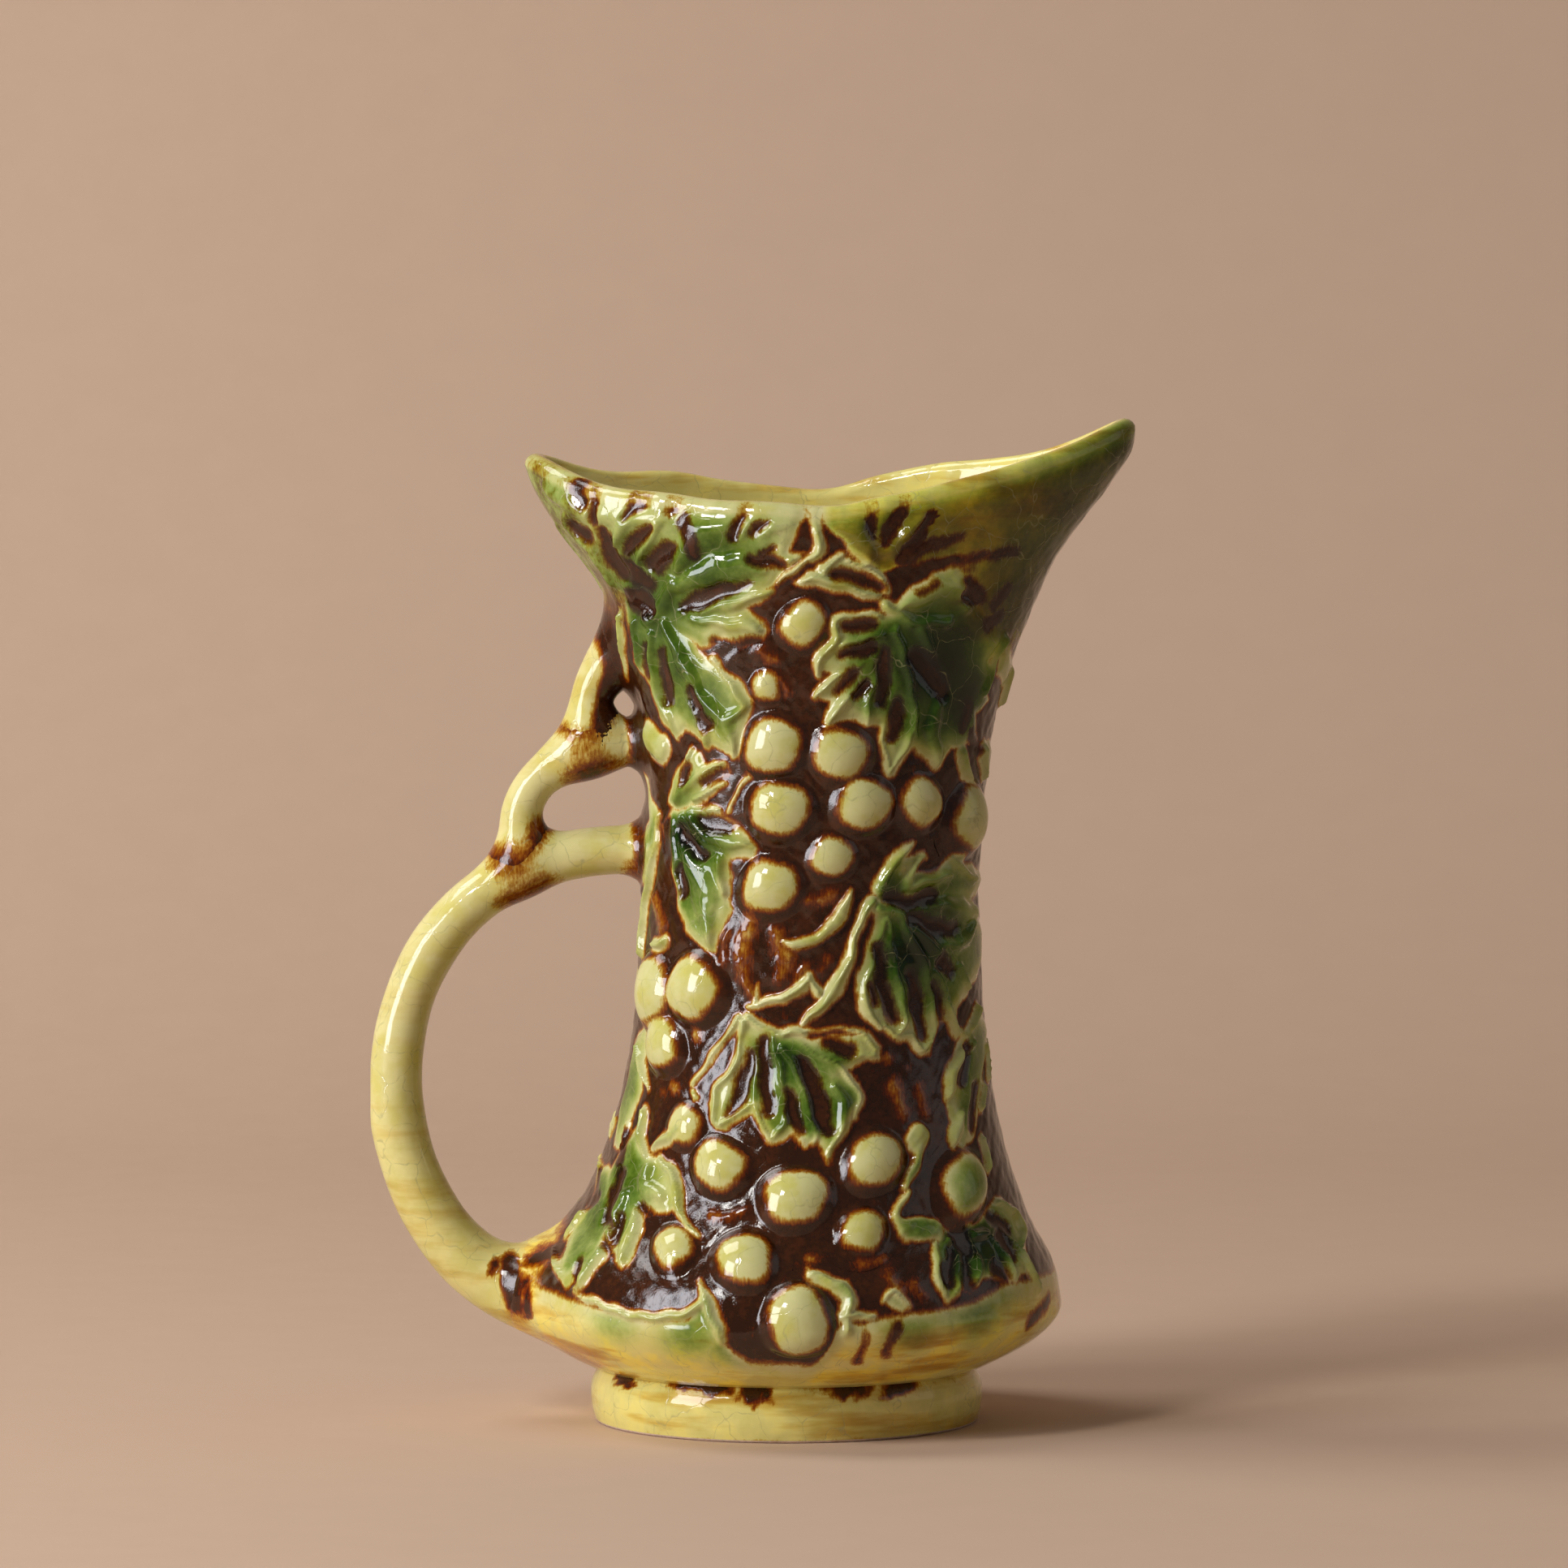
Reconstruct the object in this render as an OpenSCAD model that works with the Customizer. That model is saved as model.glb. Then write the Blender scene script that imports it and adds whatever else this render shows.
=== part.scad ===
// Grape relief pitcher: a waisted jug with a boat-shaped mouth, a looped handle and
// moulded vine leaves, berries and stems laid on its wall.
// The origin is the centre of the foot on the table, +X points to the spout,
// -Y is the front and +Z is up.

/* [Body] */
// Height of the widest part of the belly
belly_h = 27; // [20:0.5:40]
// Width of the belly from the handle side to the spout side
belly_w = 120; // [100:1:150]
// Depth of the belly from front to back
belly_depth = 120; // [100:1:150]
// Shift of the belly toward the spout
belly_lean = 2; // [0:0.5:6]
// Height of the waist
waist_h = 122; // [95:1:150]
// Width and depth of the waist
waist_d = 75; // [60:1:95]
// Shift of the waist toward the spout
waist_lean = 5.4; // [0:0.2:9]
// Thickness of the wall
wall_t = 5; // [3:0.5:8]
// Thickness of the floor
floor_t = 6; // [4:0.5:10]

/* [Mouth] */
// Height of the rim where it is lowest, at the front and back
rim_h = 210; // [170:1:255]
// Rise of the spout tip above the lowest rim
spout_rise = 19; // [10:0.5:26]
// Rise of the thumb lip above the lowest rim
thumb_rise = 11; // [5:0.5:16]
// Reach of the spout tip from the middle of the foot
spout_reach = 80; // [62:1:97]
// Reach of the thumb lip from the middle of the foot
thumb_reach = 60.5; // [48:0.5:74]
// Depth of the mouth from front to back
mouth_depth = 78; // [62:1:95]
// Height of the rounded lip crest
lip_round = 2.5; // [1:0.5:4]

/* [Foot] */
// Largest width of the foot band
foot_d = 90; // [74:1:109]
// Height of the foot band
foot_h = 13; // [9:0.5:16]
// Radius of the bulge of the foot band
foot_bulge_r = 14; // [11:0.5:30]
// Width of the ring that the jug stands on
foot_ring_w = 8; // [6:0.5:14]

/* [Handle] */
// Reach of the handle loop from the middle of the foot
handle_reach = 95; // [80:1:115]
// Thickness of the handle loop seen from the front
loop_t = 11.4; // [8:0.2:14]
// Thickness of the handle loop from front to back
loop_depth = 13.5; // [9:0.5:17]
// Widening of the loop where it meets the belly, as a factor
root_flare_share = 1.5; // [1:0.05:1.7]
// Thickness of the middle arch
middle_t = 9.6; // [7:0.2:12]
// Thickness of the top arch
top_t = 9; // [6:0.2:11]

/* [Relief] */
// Height of a leaf above the wall
leaf_t = 2.1; // [1.4:0.1:3]
// Height of the veins above the leaf
vein_t = 0.8; // [0.2:0.1:1.4]
// Width of the vine stems
stem_w = 4; // [2.5:0.1:5]
// Glaze line between a piece and the wall that carries it
slip_gap = 0.25; // [0.15:0.05:0.4]

/* [Fineness] */
// Sides of the wall
wall_sides = 48; // [36:4:72]
// Sides of the handle
tube_sides = 16; // [12:2:24]

/* [Hidden] */
$fn = 64;
full_turn = 360;
half_turn = 180;
quarter = 90;
tiny = 0.001;
probe = wall_t / 10;
turn_probe = 1;
halvings = 22;
folds = 10;

// Body outline

tip_h = rim_h + spout_rise;
thumb_h = rim_h + thumb_rise;
bulge_z = foot_h / 2;
foot_top_r = foot_d / 2 - foot_bulge_r
    + sqrt(pow(foot_bulge_r, 2) - pow(foot_h - bulge_z, 2));

// How the wall runs from the belly in to the waist and from the waist out to the lip:
// share of the height, then share of the way
hip_shares = [[0, 1], [0.09, 0.91], [0.21, 0.6], [0.42, 0.27], [0.67, 0.08], [1, 0]];
spout_shares = [[0, 0], [0.26, 0.055], [0.4, 0.125], [0.53, 0.25], [0.71, 0.48],
    [0.85, 0.775], [0.93, 0.93], [1, 1]];
thumb_shares = [[0, 0], [0.35, 0.02], [0.57, 0.22], [0.7, 0.36], [0.84, 0.72],
    [0.92, 0.89], [1, 1]];
under_power = 1.75;
pinch_share = 0.3;
spout_power = 1;
thumb_power = 1.9;

function clamp(v, low, high) = min(max(v, low), high);
function unit(v) = v / max(norm(v), tiny);
function slope(t, k) =
    let (a = max(k - 1, 0), b = min(k + 1, len(t) - 1))
    (t[b][1] - t[a][1]) / (t[b][0] - t[a][0]);

// Smooth curve through the rows of a share table
function curve(t, u) =
    let (v = clamp(u, 0, 1))
    let (i = max([for (k = [0 : len(t) - 2]) if (t[k][0] <= v) k]))
    let (h = t[i + 1][0] - t[i][0], s = (v - t[i][0]) / h)
    (2 * pow(s, 3) - 3 * pow(s, 2) + 1) * t[i][1]
    + (pow(s, 3) - 2 * pow(s, 2) + s) * h * slope(t, i)
    + (3 * pow(s, 2) - 2 * pow(s, 3)) * t[i + 1][1]
    + (pow(s, 3) - pow(s, 2)) * h * slope(t, i + 1);

function reach(z, belly, waist, lip, lip_z, shares) =
    z < belly_h
        ? foot_top_r + (belly - foot_top_r)
            * (1 - pow(clamp((belly_h - z) / (belly_h - foot_h), 0, 1), under_power))
        : z < waist_h
            ? waist + (belly - waist) * curve(hip_shares, (z - belly_h) / (waist_h - belly_h))
            : waist + (lip - waist) * curve(shares, (z - waist_h) / (lip_z - waist_h));

function spout_at(z) =
    reach(z, belly_w / 2 + belly_lean, waist_d / 2 + waist_lean, spout_reach, tip_h, spout_shares);
function thumb_at(z) =
    reach(z, belly_w / 2 - belly_lean, waist_d / 2 - waist_lean, thumb_reach, thumb_h, thumb_shares);
function depth_at(z) =
    reach(z, belly_depth / 2, waist_d / 2, mouth_depth / 2, rim_h, spout_shares);
function middle_at(z) = (spout_at(z) - thumb_at(z)) / 2;
function half_at(z) = (spout_at(z) + thumb_at(z)) / 2;
function pinch_at(z) = pinch_share * pow(clamp((z - waist_h) / (tip_h - waist_h), 0, 1), 2);

// A point of the wall from its angle round the section, its height and its inset
function wall_point(a, z, inset = 0) =
    [middle_at(z) + (half_at(z) - inset) * cos(a),
     (depth_at(z) - inset) * sin(a) * (1 - pinch_at(z) * pow(cos(a), 2)),
     z];
function wall_normal(a, z) =
    unit(cross(wall_point(a + turn_probe, z) - wall_point(a - turn_probe, z),
        wall_point(a, z + probe) - wall_point(a, z - probe)));
function on_wall(a, z, lift) = wall_point(a, z) + lift * wall_normal(a, z);

// Height of the rim round the mouth
function rim_at(a) =
    cos(a) > 0
        ? rim_h + spout_rise * pow(cos(a), spout_power)
        : rim_h + thumb_rise * pow(-cos(a), thumb_power);

// Closed skin over a stack of rings, with a middle point at either end
function skin_faces(m, n) =
    concat(
        [for (i = [0 : m - 2]) for (j = [0 : n - 1]) let (k = (j + 1) % n)
            each [[i * n + j, (i + 1) * n + j, (i + 1) * n + k],
                  [i * n + j, (i + 1) * n + k, i * n + k]]],
        [for (j = [0 : n - 1]) [m * n, j, (j + 1) % n]],
        [for (j = [0 : n - 1]) [m * n + 1, (m - 1) * n + (j + 1) % n, (m - 1) * n + j]]);

module skin(rings, first, last) {
    polyhedron(
        concat([for (r = rings) each r], [first, last]),
        skin_faces(len(rings), len(rings[0])),
        folds);
}

// Vessel wall

under_rings = 4;
under_spread = 1.4;
body_rings = 20;
body_spread = 1.3;
mouth_rings = 6;
inner_mouth_rings = 3;
inner_rings = 13;
well_rings = 3;
turns = [for (k = [0 : wall_sides - 1]) full_turn * k / wall_sides];
base_z = foot_h + slip_gap;
floor_z = base_z + floor_t;
well_z = belly_h + floor_t;
collar_share = 0.75;
collar_z = waist_h + (rim_h - waist_h) * collar_share;

function level_ring(z, inset) = [for (a = turns) wall_point(a, z, inset)];
function mouth_ring(w, inset) =
    [for (a = turns) wall_point(a, collar_z + w * (rim_at(a) - lip_round - collar_z), inset)];
function crest_ring() =
    [for (a = turns)
        let (p = wall_point(a, rim_at(a) - lip_round, wall_t / 2))
        [p[0], p[1], rim_at(a)]];
// Rounded corner between the inner wall and the floor
function well_ring(w) =
    [for (a = turns)
        let (p = wall_point(a, well_z, wall_t), r = wall_point(a, well_z, wall_t + floor_t))
        let (c = cos(quarter * w), s = sin(quarter * w))
        [r[0] + (p[0] - r[0]) * c, r[1] + (p[1] - r[1]) * c, well_z - (well_z - floor_z) * s]];

module vessel_wall() {
    color("saddlebrown")
    skin(concat(
        [for (k = [0 : under_rings])
            level_ring(base_z + (belly_h - base_z) * (1 - pow(1 - k / under_rings, under_spread)), 0)],
        [for (k = [1 : body_rings])
            level_ring(belly_h + (collar_z - belly_h) * pow(k / body_rings, body_spread), 0)],
        [for (k = [1 : mouth_rings]) mouth_ring(k / mouth_rings, 0)],
        [crest_ring()],
        [for (k = [0 : inner_mouth_rings]) mouth_ring(1 - k / inner_mouth_rings, wall_t)],
        [for (k = [1 : inner_rings - 1])
            level_ring(collar_z + (well_z - collar_z) * k / inner_rings, wall_t)],
        [for (k = [0 : well_rings]) well_ring(k / well_rings)]),
        [middle_at(base_z), 0, base_z],
        [middle_at(well_z), 0, floor_z]);
}

// Foot ring

module foot_ring() {
    color("goldenrod")
    rotate_extrude()
    intersection() {
        translate([foot_top_r - foot_ring_w, 0])
            square([foot_d, foot_h]);
        translate([foot_d / 2 - foot_bulge_r, bulge_z])
            circle(foot_bulge_r);
    }
}

// Handle

stand_off = wall_t * 0.6;
loop_top_share = 0.622;
loop_mid_share = 0.358;
loop_root_share = 0.147;
middle_top_share = 0.738;
middle_foot_share = 0.648;
top_foot_share = 0.77;
middle_reach_share = 0.64;
top_start_share = 0.8313;
top_reach_share = 0.377;
arch_depth_share = 1.1;
top_start = 40;
loop_up_rings = 13;
loop_down_rings = 10;
arch_rings = 9;
flare_power = 3;
// The loop is fuller than an arc above its widest place and leaner below it
loop_upper_power = 0.905;
loop_lower_power = 1.13;
cope_reach = loop_t * 0.8;
cope_gap = slip_gap * 1.9;
cap_shares = [0.25, 0.5, 0.7, 0.86, 1];

loop_x = handle_reach - loop_t / 2;
loop_top_z = rim_h * loop_top_share;
loop_mid_z = rim_h * loop_mid_share;
loop_root_z = rim_h * loop_root_share;
loop_top_x = thumb_at(loop_top_z) + stand_off;
loop_root_x = thumb_at(loop_root_z) + stand_off;
middle_top_z = rim_h * middle_top_share;
middle_foot_z = rim_h * middle_foot_share;
middle_top_x = thumb_at(middle_top_z) + stand_off;
middle_x = handle_reach * middle_reach_share;
top_foot_z = rim_h * top_foot_share;
top_foot_x = middle_top_x + (middle_x - middle_top_x) * top_reach_share;
top_start_z = rim_h * top_start_share;
top_start_x = thumb_at(top_start_z) + stand_off;
top_far = (top_foot_x - top_start_x) / (1 - sin(top_start));
top_up = (top_start_z - top_foot_z) / cos(top_start);

// Arc in the middle plane: angle 0 is its top, a quarter turn is its far end
function arc_at(x, z, far, up, a, power = 1) =
    [-(x + far * pow(sin(a), power)), 0, z + up * sign(cos(a)) * pow(abs(cos(a)), power)];

loop_path = concat(
    [for (k = [0 : loop_up_rings])
        arc_at(loop_top_x, loop_mid_z, loop_x - loop_top_x, loop_top_z - loop_mid_z,
            quarter * k / loop_up_rings, loop_upper_power)],
    [for (k = [1 : loop_down_rings])
        arc_at(loop_root_x, loop_mid_z, loop_x - loop_root_x, loop_mid_z - loop_root_z,
            quarter + quarter * k / loop_down_rings, loop_lower_power)]);
loop_size = concat(
    [for (k = [0 : loop_up_rings]) 1],
    [for (k = [1 : loop_down_rings])
        1 + (root_flare_share - 1) * pow(k / loop_down_rings, flare_power)]);
middle_path = [for (k = [0 : arch_rings])
    arc_at(middle_top_x, middle_foot_z, middle_x - middle_top_x, middle_top_z - middle_foot_z,
        quarter * k / arch_rings)];
top_path = [for (k = [0 : arch_rings])
    arc_at(top_foot_x - top_far, top_foot_z, top_far, top_up,
        top_start + (quarter - top_start) * k / arch_rings)];

function along(path, k) =
    unit(path[min(k + 1, len(path) - 1)] - path[max(k - 1, 0)]);
function tube_ring(p, t, wide, deep) =
    [for (j = [0 : tube_sides - 1]) let (f = full_turn * j / tube_sides)
        p + wide * cos(f) * [t[2], 0, -t[0]] + deep * sin(f) * [0, 1, 0]];

// Whether a point is inside the wall, or inside a tube along a path, with the glaze line round it
function in_wall(p) =
    let (z = p[2], c = (p[0] - middle_at(z)) / (half_at(z) + cope_gap))
    let (d = (depth_at(z) + cope_gap) * (1 - pinch_at(z) * min(c * c, 1)))
    c * c + pow(p[1] / d, 2) < 1;
function segment_gap(p, a, b) =
    let (d = b - a, q = [p[0], 0, p[2]] - a)
    norm(q - d * clamp((q * d) / (d * d), 0, 1));
function in_tube(p, path, wide, deep) =
    let (g = min([for (k = [0 : len(path) - 2]) segment_gap(p, path[k], path[k + 1])]))
    pow(g / (wide + slip_gap), 2) + pow(p[1] / (deep + slip_gap), 2) < 1;
function hits(p, path, wide, deep) = len(path) == 0 ? in_wall(p) : in_tube(p, path, wide, deep);
// Distance along a direction to the surface that a handle end is shaped to
function cope(p, d, path, wide, deep, low, high, n = halvings) =
    n == 0
        ? low
        : let (m = (low + high) / 2)
            hits(p + d * m, path, wide, deep)
                ? cope(p, d, path, wide, deep, low, m, n - 1)
                : cope(p, d, path, wide, deep, m, high, n - 1);
function coped(ring, d, path, wide, deep) =
    [for (p = ring) p + d * cope(p, d, path, wide, deep, 0, cope_reach)];

function shrunk(ring, p, s) = [for (q = ring) p + (q - p) * s];

module handle_tube(path, sizes, wide, deep, seat_path, seat_wide, seat_deep) {
    last = len(path) - 1;
    rings = [for (k = [0 : last])
        tube_ring(path[k], along(path, k), wide * sizes[k], deep * sizes[k])];
    skin(
        concat(
            [for (s = cap_shares) coped(shrunk(rings[0], path[0], s), -along(path, 0), [], 0, 0)],
            rings,
            [for (k = [len(cap_shares) - 1 : -1 : 0])
                coped(shrunk(rings[last], path[last], cap_shares[k]), along(path, last),
                    seat_path, seat_wide, seat_deep)]),
        coped([path[0]], -along(path, 0), [], 0, 0)[0],
        coped([path[last]], along(path, last), seat_path, seat_wide, seat_deep)[0]);
}

module handle_loop() {
    color("khaki")
    handle_tube(loop_path, loop_size, loop_t / 2, loop_depth / 2, [], 0, 0);
}

module handle_middle_arch() {
    color("khaki")
    handle_tube(middle_path, [for (p = middle_path) 1],
        middle_t / 2, middle_t / 2 * arch_depth_share,
        loop_path, loop_t / 2, loop_depth / 2);
}

module handle_top_arch() {
    color("khaki")
    handle_tube(top_path, [for (p = top_path) 1],
        top_t / 2, top_t / 2 * arch_depth_share,
        middle_path, middle_t / 2, middle_t / 2 * arch_depth_share);
}

// Vine leaves

// Each leaf: angle round the body, height share, width in degrees, height share of its span,
// and its lobes as a direction and a length share
rim_leaf_shares = [-74, 0.943, 34, 0.1, [[8, 0.55], [48, 1], [92, 0.7], [146, 0.5]]];
collar_left_shares = [-143, 0.9, 52, 0.165,
    [[-100, 0.55], [-58, 1], [-20, 0.78], [22, 0.92], [64, 0.74], [112, 0.5]]];
collar_right_shares = [-70, 0.885, 52, 0.18,
    [[-152, 0.3], [-116, 0.62], [-78, 1], [-36, 0.9], [8, 0.5]]];
waist_left_shares = [-143, 0.686, 50, 0.17,
    [[-112, 0.6], [-68, 1], [-22, 0.68], [34, 0.4], [82, 0.36]]];
waist_right_shares = [-66, 0.582, 52, 0.175,
    [[-106, 0.6], [-68, 1], [-28, 0.9], [8, 0.7], [56, 0.3]]];
belly_centre_shares = [-107, 0.462, 46, 0.175,
    [[-116, 0.8], [-72, 0.92], [-38, 0.98], [-4, 0.72], [46, 0.4]]];
belly_left_shares = [-155, 0.33, 36, 0.14, [[-100, 0.8], [-60, 0.9], [-28, 0.74], [30, 0.42]]];
belly_right_shares = [-42, 0.235, 34, 0.115, [[-130, 0.8], [-88, 0.75], [-40, 1], [15, 0.55]]];
hip_leaf_shares = [-16, 0.42, 30, 0.15, [[-115, 0.85], [-84, 1], [-50, 0.4], [60, 0.35]]];
hem_left_shares = [-136, 0.165, 30, 0.07, [[-50, 0.5], [-8, 1], [35, 0.5]]];
hem_right_shares = [-72, 0.185, 13, 0.06, [[-165, 0.7], [-120, 1], [-70, 0.8]]];

tooth_share = 0.84;
sinus_share = 0.62;
tooth_place_share = 0.55;
heel_share = 0.16;
heel_turn = 34;
edge_share = 0.6;
leaf_ring_shares = [0.28, 0.55, 0.8, 1];
seam_turn = 6;
sag_share = 0.6;

function leaf_spokes(lobes) =
    let (n = len(lobes))
    concat(
        [for (i = [0 : n - 1])
            let (a = lobes[i][0], s = lobes[i][1])
            let (left = i == 0 ? heel_turn : (a - lobes[i - 1][0]) / 2)
            let (right = i == n - 1 ? heel_turn : (lobes[i + 1][0] - a) / 2)
            let (next = i == n - 1 ? s : min(s, lobes[i + 1][1]))
            each [
                [a - left * tooth_place_share, s * tooth_share, 0],
                [a, s, 1],
                [a + right * tooth_place_share, s * tooth_share, 0],
                [a + right, next * sinus_share, 0]]],
        [[(lobes[n - 1][0] + lobes[0][0] + full_turn) / 2, heel_share, 0]]);

function leaf_point(leaf, spoke, s, lift) =
    let (r = spoke[1] * s)
    let (a = clamp(leaf[0] + leaf[2] * r * cos(spoke[0]), seam_turn - half_turn, -seam_turn))
    let (z = rim_h * (leaf[1] + leaf[3] * r * sin(spoke[0])))
    on_wall(a, min(z, rim_at(a) - lip_round * 2), lift);

module vine_leaf(leaf) {
    spokes = leaf_spokes(leaf[4]);
    span = len(leaf_ring_shares);
    // The underside stands off by the glaze line and the sag of its flat facets
    seat = slip_gap + depth_at(rim_h * leaf[1]) * (1 - cos(leaf[2] * leaf_ring_shares[0] * sag_share));
    color("olivedrab")
    skin(
        concat(
            [for (s = leaf_ring_shares) [for (p = spokes) leaf_point(leaf, p, s, seat)]],
            [for (k = [span - 1 : -1 : 0]) let (s = leaf_ring_shares[k])
                [for (p = spokes) leaf_point(leaf, p, s,
                    seat + leaf_t * (k == span - 1 ? edge_share : 1) + p[2] * vein_t * (1 - s * s))]]),
        leaf_point(leaf, spokes[0], 0, seat),
        leaf_point(leaf, spokes[0], 0, seat + leaf_t));
}

// Berries

berry_span_share = 0.36;
berry_unit = min(waist_d, rim_h * berry_span_share);
berry_seat = slip_gap * 2.2;
berry_sink_share = 0.16;
// Each berry: angle round the body, height share, width share
neck_berry_shares = [[-94, 0.876, 0.13], [-105, 0.8, 0.085]];
upper_berry_shares = [[-104, 0.746, 0.165], [-82, 0.742, 0.155], [-101, 0.676, 0.165],
    [-74, 0.68, 0.155], [-53, 0.68, 0.145], [-28, 0.662, 0.14], [-84, 0.625, 0.12],
    [-104, 0.592, 0.155]];
middle_berry_shares = [[-131, 0.483, 0.165], [-153, 0.475, 0.14], [-144, 0.415, 0.125]];
lower_berry_shares = [[-129, 0.325, 0.12], [-114, 0.287, 0.15], [-92, 0.262, 0.18],
    [-70, 0.296, 0.165], [-75, 0.226, 0.14], [-44, 0.29, 0.165], [-103, 0.198, 0.165],
    [-121, 0.207, 0.13], [-90, 0.146, 0.17]];

module berries(rows) {
    for (b = rows) {
        n = wall_normal(b[0], rim_h * b[1]);
        r = berry_unit * b[2] / 2;
        color("palegoldenrod")
        translate(on_wall(b[0], rim_h * b[1], berry_seat))
        rotate([0, acos(n[2]), atan2(n[1], n[0])])
        intersection() {
            translate([0, 0, -r * berry_sink_share])
                sphere(r);
            cylinder(h = r * 2, r = r * 2);
        }
    }
}

// Stems

stem_rings = 9;
stem_sides = 6;
stem_tip_share = 0.45;
// Each stem: start, bend and end as an angle round the body and a height share
collar_stem_shares = [[-101, 0.91], [-95, 0.945], [-84, 0.912]];
waist_stem_shares = [[-99, 0.548], [-86, 0.557], [-77, 0.585]];
tendril_shares = [[-55, 0.35], [-60, 0.29], [-57, 0.215]];

function stem_spot(s, t) =
    (1 - t) * (1 - t) * s[0] + 2 * t * (1 - t) * s[1] + t * t * s[2];
function stem_point(s, t, lift) =
    let (q = stem_spot(s, t)) on_wall(q[0], rim_h * q[1], lift);
function stem_ring(s, t, r) =
    let (q = stem_spot(s, t), n = wall_normal(q[0], rim_h * q[1]))
    let (d = unit(stem_point(s, t + tiny * 10, slip_gap) - stem_point(s, t - tiny * 10, slip_gap)))
    [for (k = [0 : stem_sides - 1]) let (f = half_turn * k / (stem_sides - 1))
        stem_point(s, t, slip_gap) + r * cos(f) * cross(n, d) + r * sin(f) * n];

module stem(s) {
    color("yellowgreen")
    skin(
        [for (k = [0 : stem_rings]) let (t = k / stem_rings)
            stem_ring(s, t, stem_w / 2 * (1 - (1 - stem_tip_share) * t))],
        stem_point(s, 0, slip_gap + stem_w / 4),
        stem_point(s, 1, slip_gap + stem_w / 4 * stem_tip_share));
}

// The far side of the two-part mould
module far_side() {
    mirror([0, 1, 0]) children();
}

module front_leaf_rim() { vine_leaf(rim_leaf_shares); }
module front_leaf_collar_left() { vine_leaf(collar_left_shares); }
module front_leaf_collar_right() { vine_leaf(collar_right_shares); }
module front_leaf_waist_left() { vine_leaf(waist_left_shares); }
module front_leaf_waist_right() { vine_leaf(waist_right_shares); }
module front_leaf_belly_centre() { vine_leaf(belly_centre_shares); }
module front_leaf_belly_left() { vine_leaf(belly_left_shares); }
module front_leaf_belly_right() { vine_leaf(belly_right_shares); }
module front_leaf_hip() { vine_leaf(hip_leaf_shares); }
module front_leaf_hem_left() { vine_leaf(hem_left_shares); }
module front_leaf_hem_right() { vine_leaf(hem_right_shares); }
module front_berries_neck() { berries(neck_berry_shares); }
module front_berries_upper() { berries(upper_berry_shares); }
module front_berries_middle() { berries(middle_berry_shares); }
module front_berries_lower() { berries(lower_berry_shares); }
module front_stem_collar() { stem(collar_stem_shares); }
module front_stem_waist() { stem(waist_stem_shares); }
module front_tendril_belly() { stem(tendril_shares); }
module back_leaf_rim() { far_side() front_leaf_rim(); }
module back_leaf_collar_left() { far_side() front_leaf_collar_left(); }
module back_leaf_collar_right() { far_side() front_leaf_collar_right(); }
module back_leaf_waist_left() { far_side() front_leaf_waist_left(); }
module back_leaf_waist_right() { far_side() front_leaf_waist_right(); }
module back_leaf_belly_centre() { far_side() front_leaf_belly_centre(); }
module back_leaf_belly_left() { far_side() front_leaf_belly_left(); }
module back_leaf_belly_right() { far_side() front_leaf_belly_right(); }
module back_leaf_hip() { far_side() front_leaf_hip(); }
module back_leaf_hem_left() { far_side() front_leaf_hem_left(); }
module back_leaf_hem_right() { far_side() front_leaf_hem_right(); }
module back_berries_neck() { far_side() front_berries_neck(); }
module back_berries_upper() { far_side() front_berries_upper(); }
module back_berries_middle() { far_side() front_berries_middle(); }
module back_berries_lower() { far_side() front_berries_lower(); }
module back_stem_collar() { far_side() front_stem_collar(); }
module back_stem_waist() { far_side() front_stem_waist(); }
module back_tendril_belly() { far_side() front_tendril_belly(); }

vessel_wall();
foot_ring();
handle_loop();
handle_middle_arch();
handle_top_arch();
front_leaf_rim();
front_leaf_collar_left();
front_leaf_collar_right();
front_leaf_waist_left();
front_leaf_waist_right();
front_leaf_belly_centre();
front_leaf_belly_left();
front_leaf_belly_right();
front_leaf_hip();
front_leaf_hem_left();
front_leaf_hem_right();
front_berries_neck();
front_berries_upper();
front_berries_middle();
front_berries_lower();
front_stem_collar();
front_stem_waist();
front_tendril_belly();
back_leaf_rim();
back_leaf_collar_left();
back_leaf_collar_right();
back_leaf_waist_left();
back_leaf_waist_right();
back_leaf_belly_centre();
back_leaf_belly_left();
back_leaf_belly_right();
back_leaf_hip();
back_leaf_hem_left();
back_leaf_hem_right();
back_berries_neck();
back_berries_upper();
back_berries_middle();
back_berries_lower();
back_stem_collar();
back_stem_waist();
back_tendril_belly();
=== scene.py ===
import math

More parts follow.
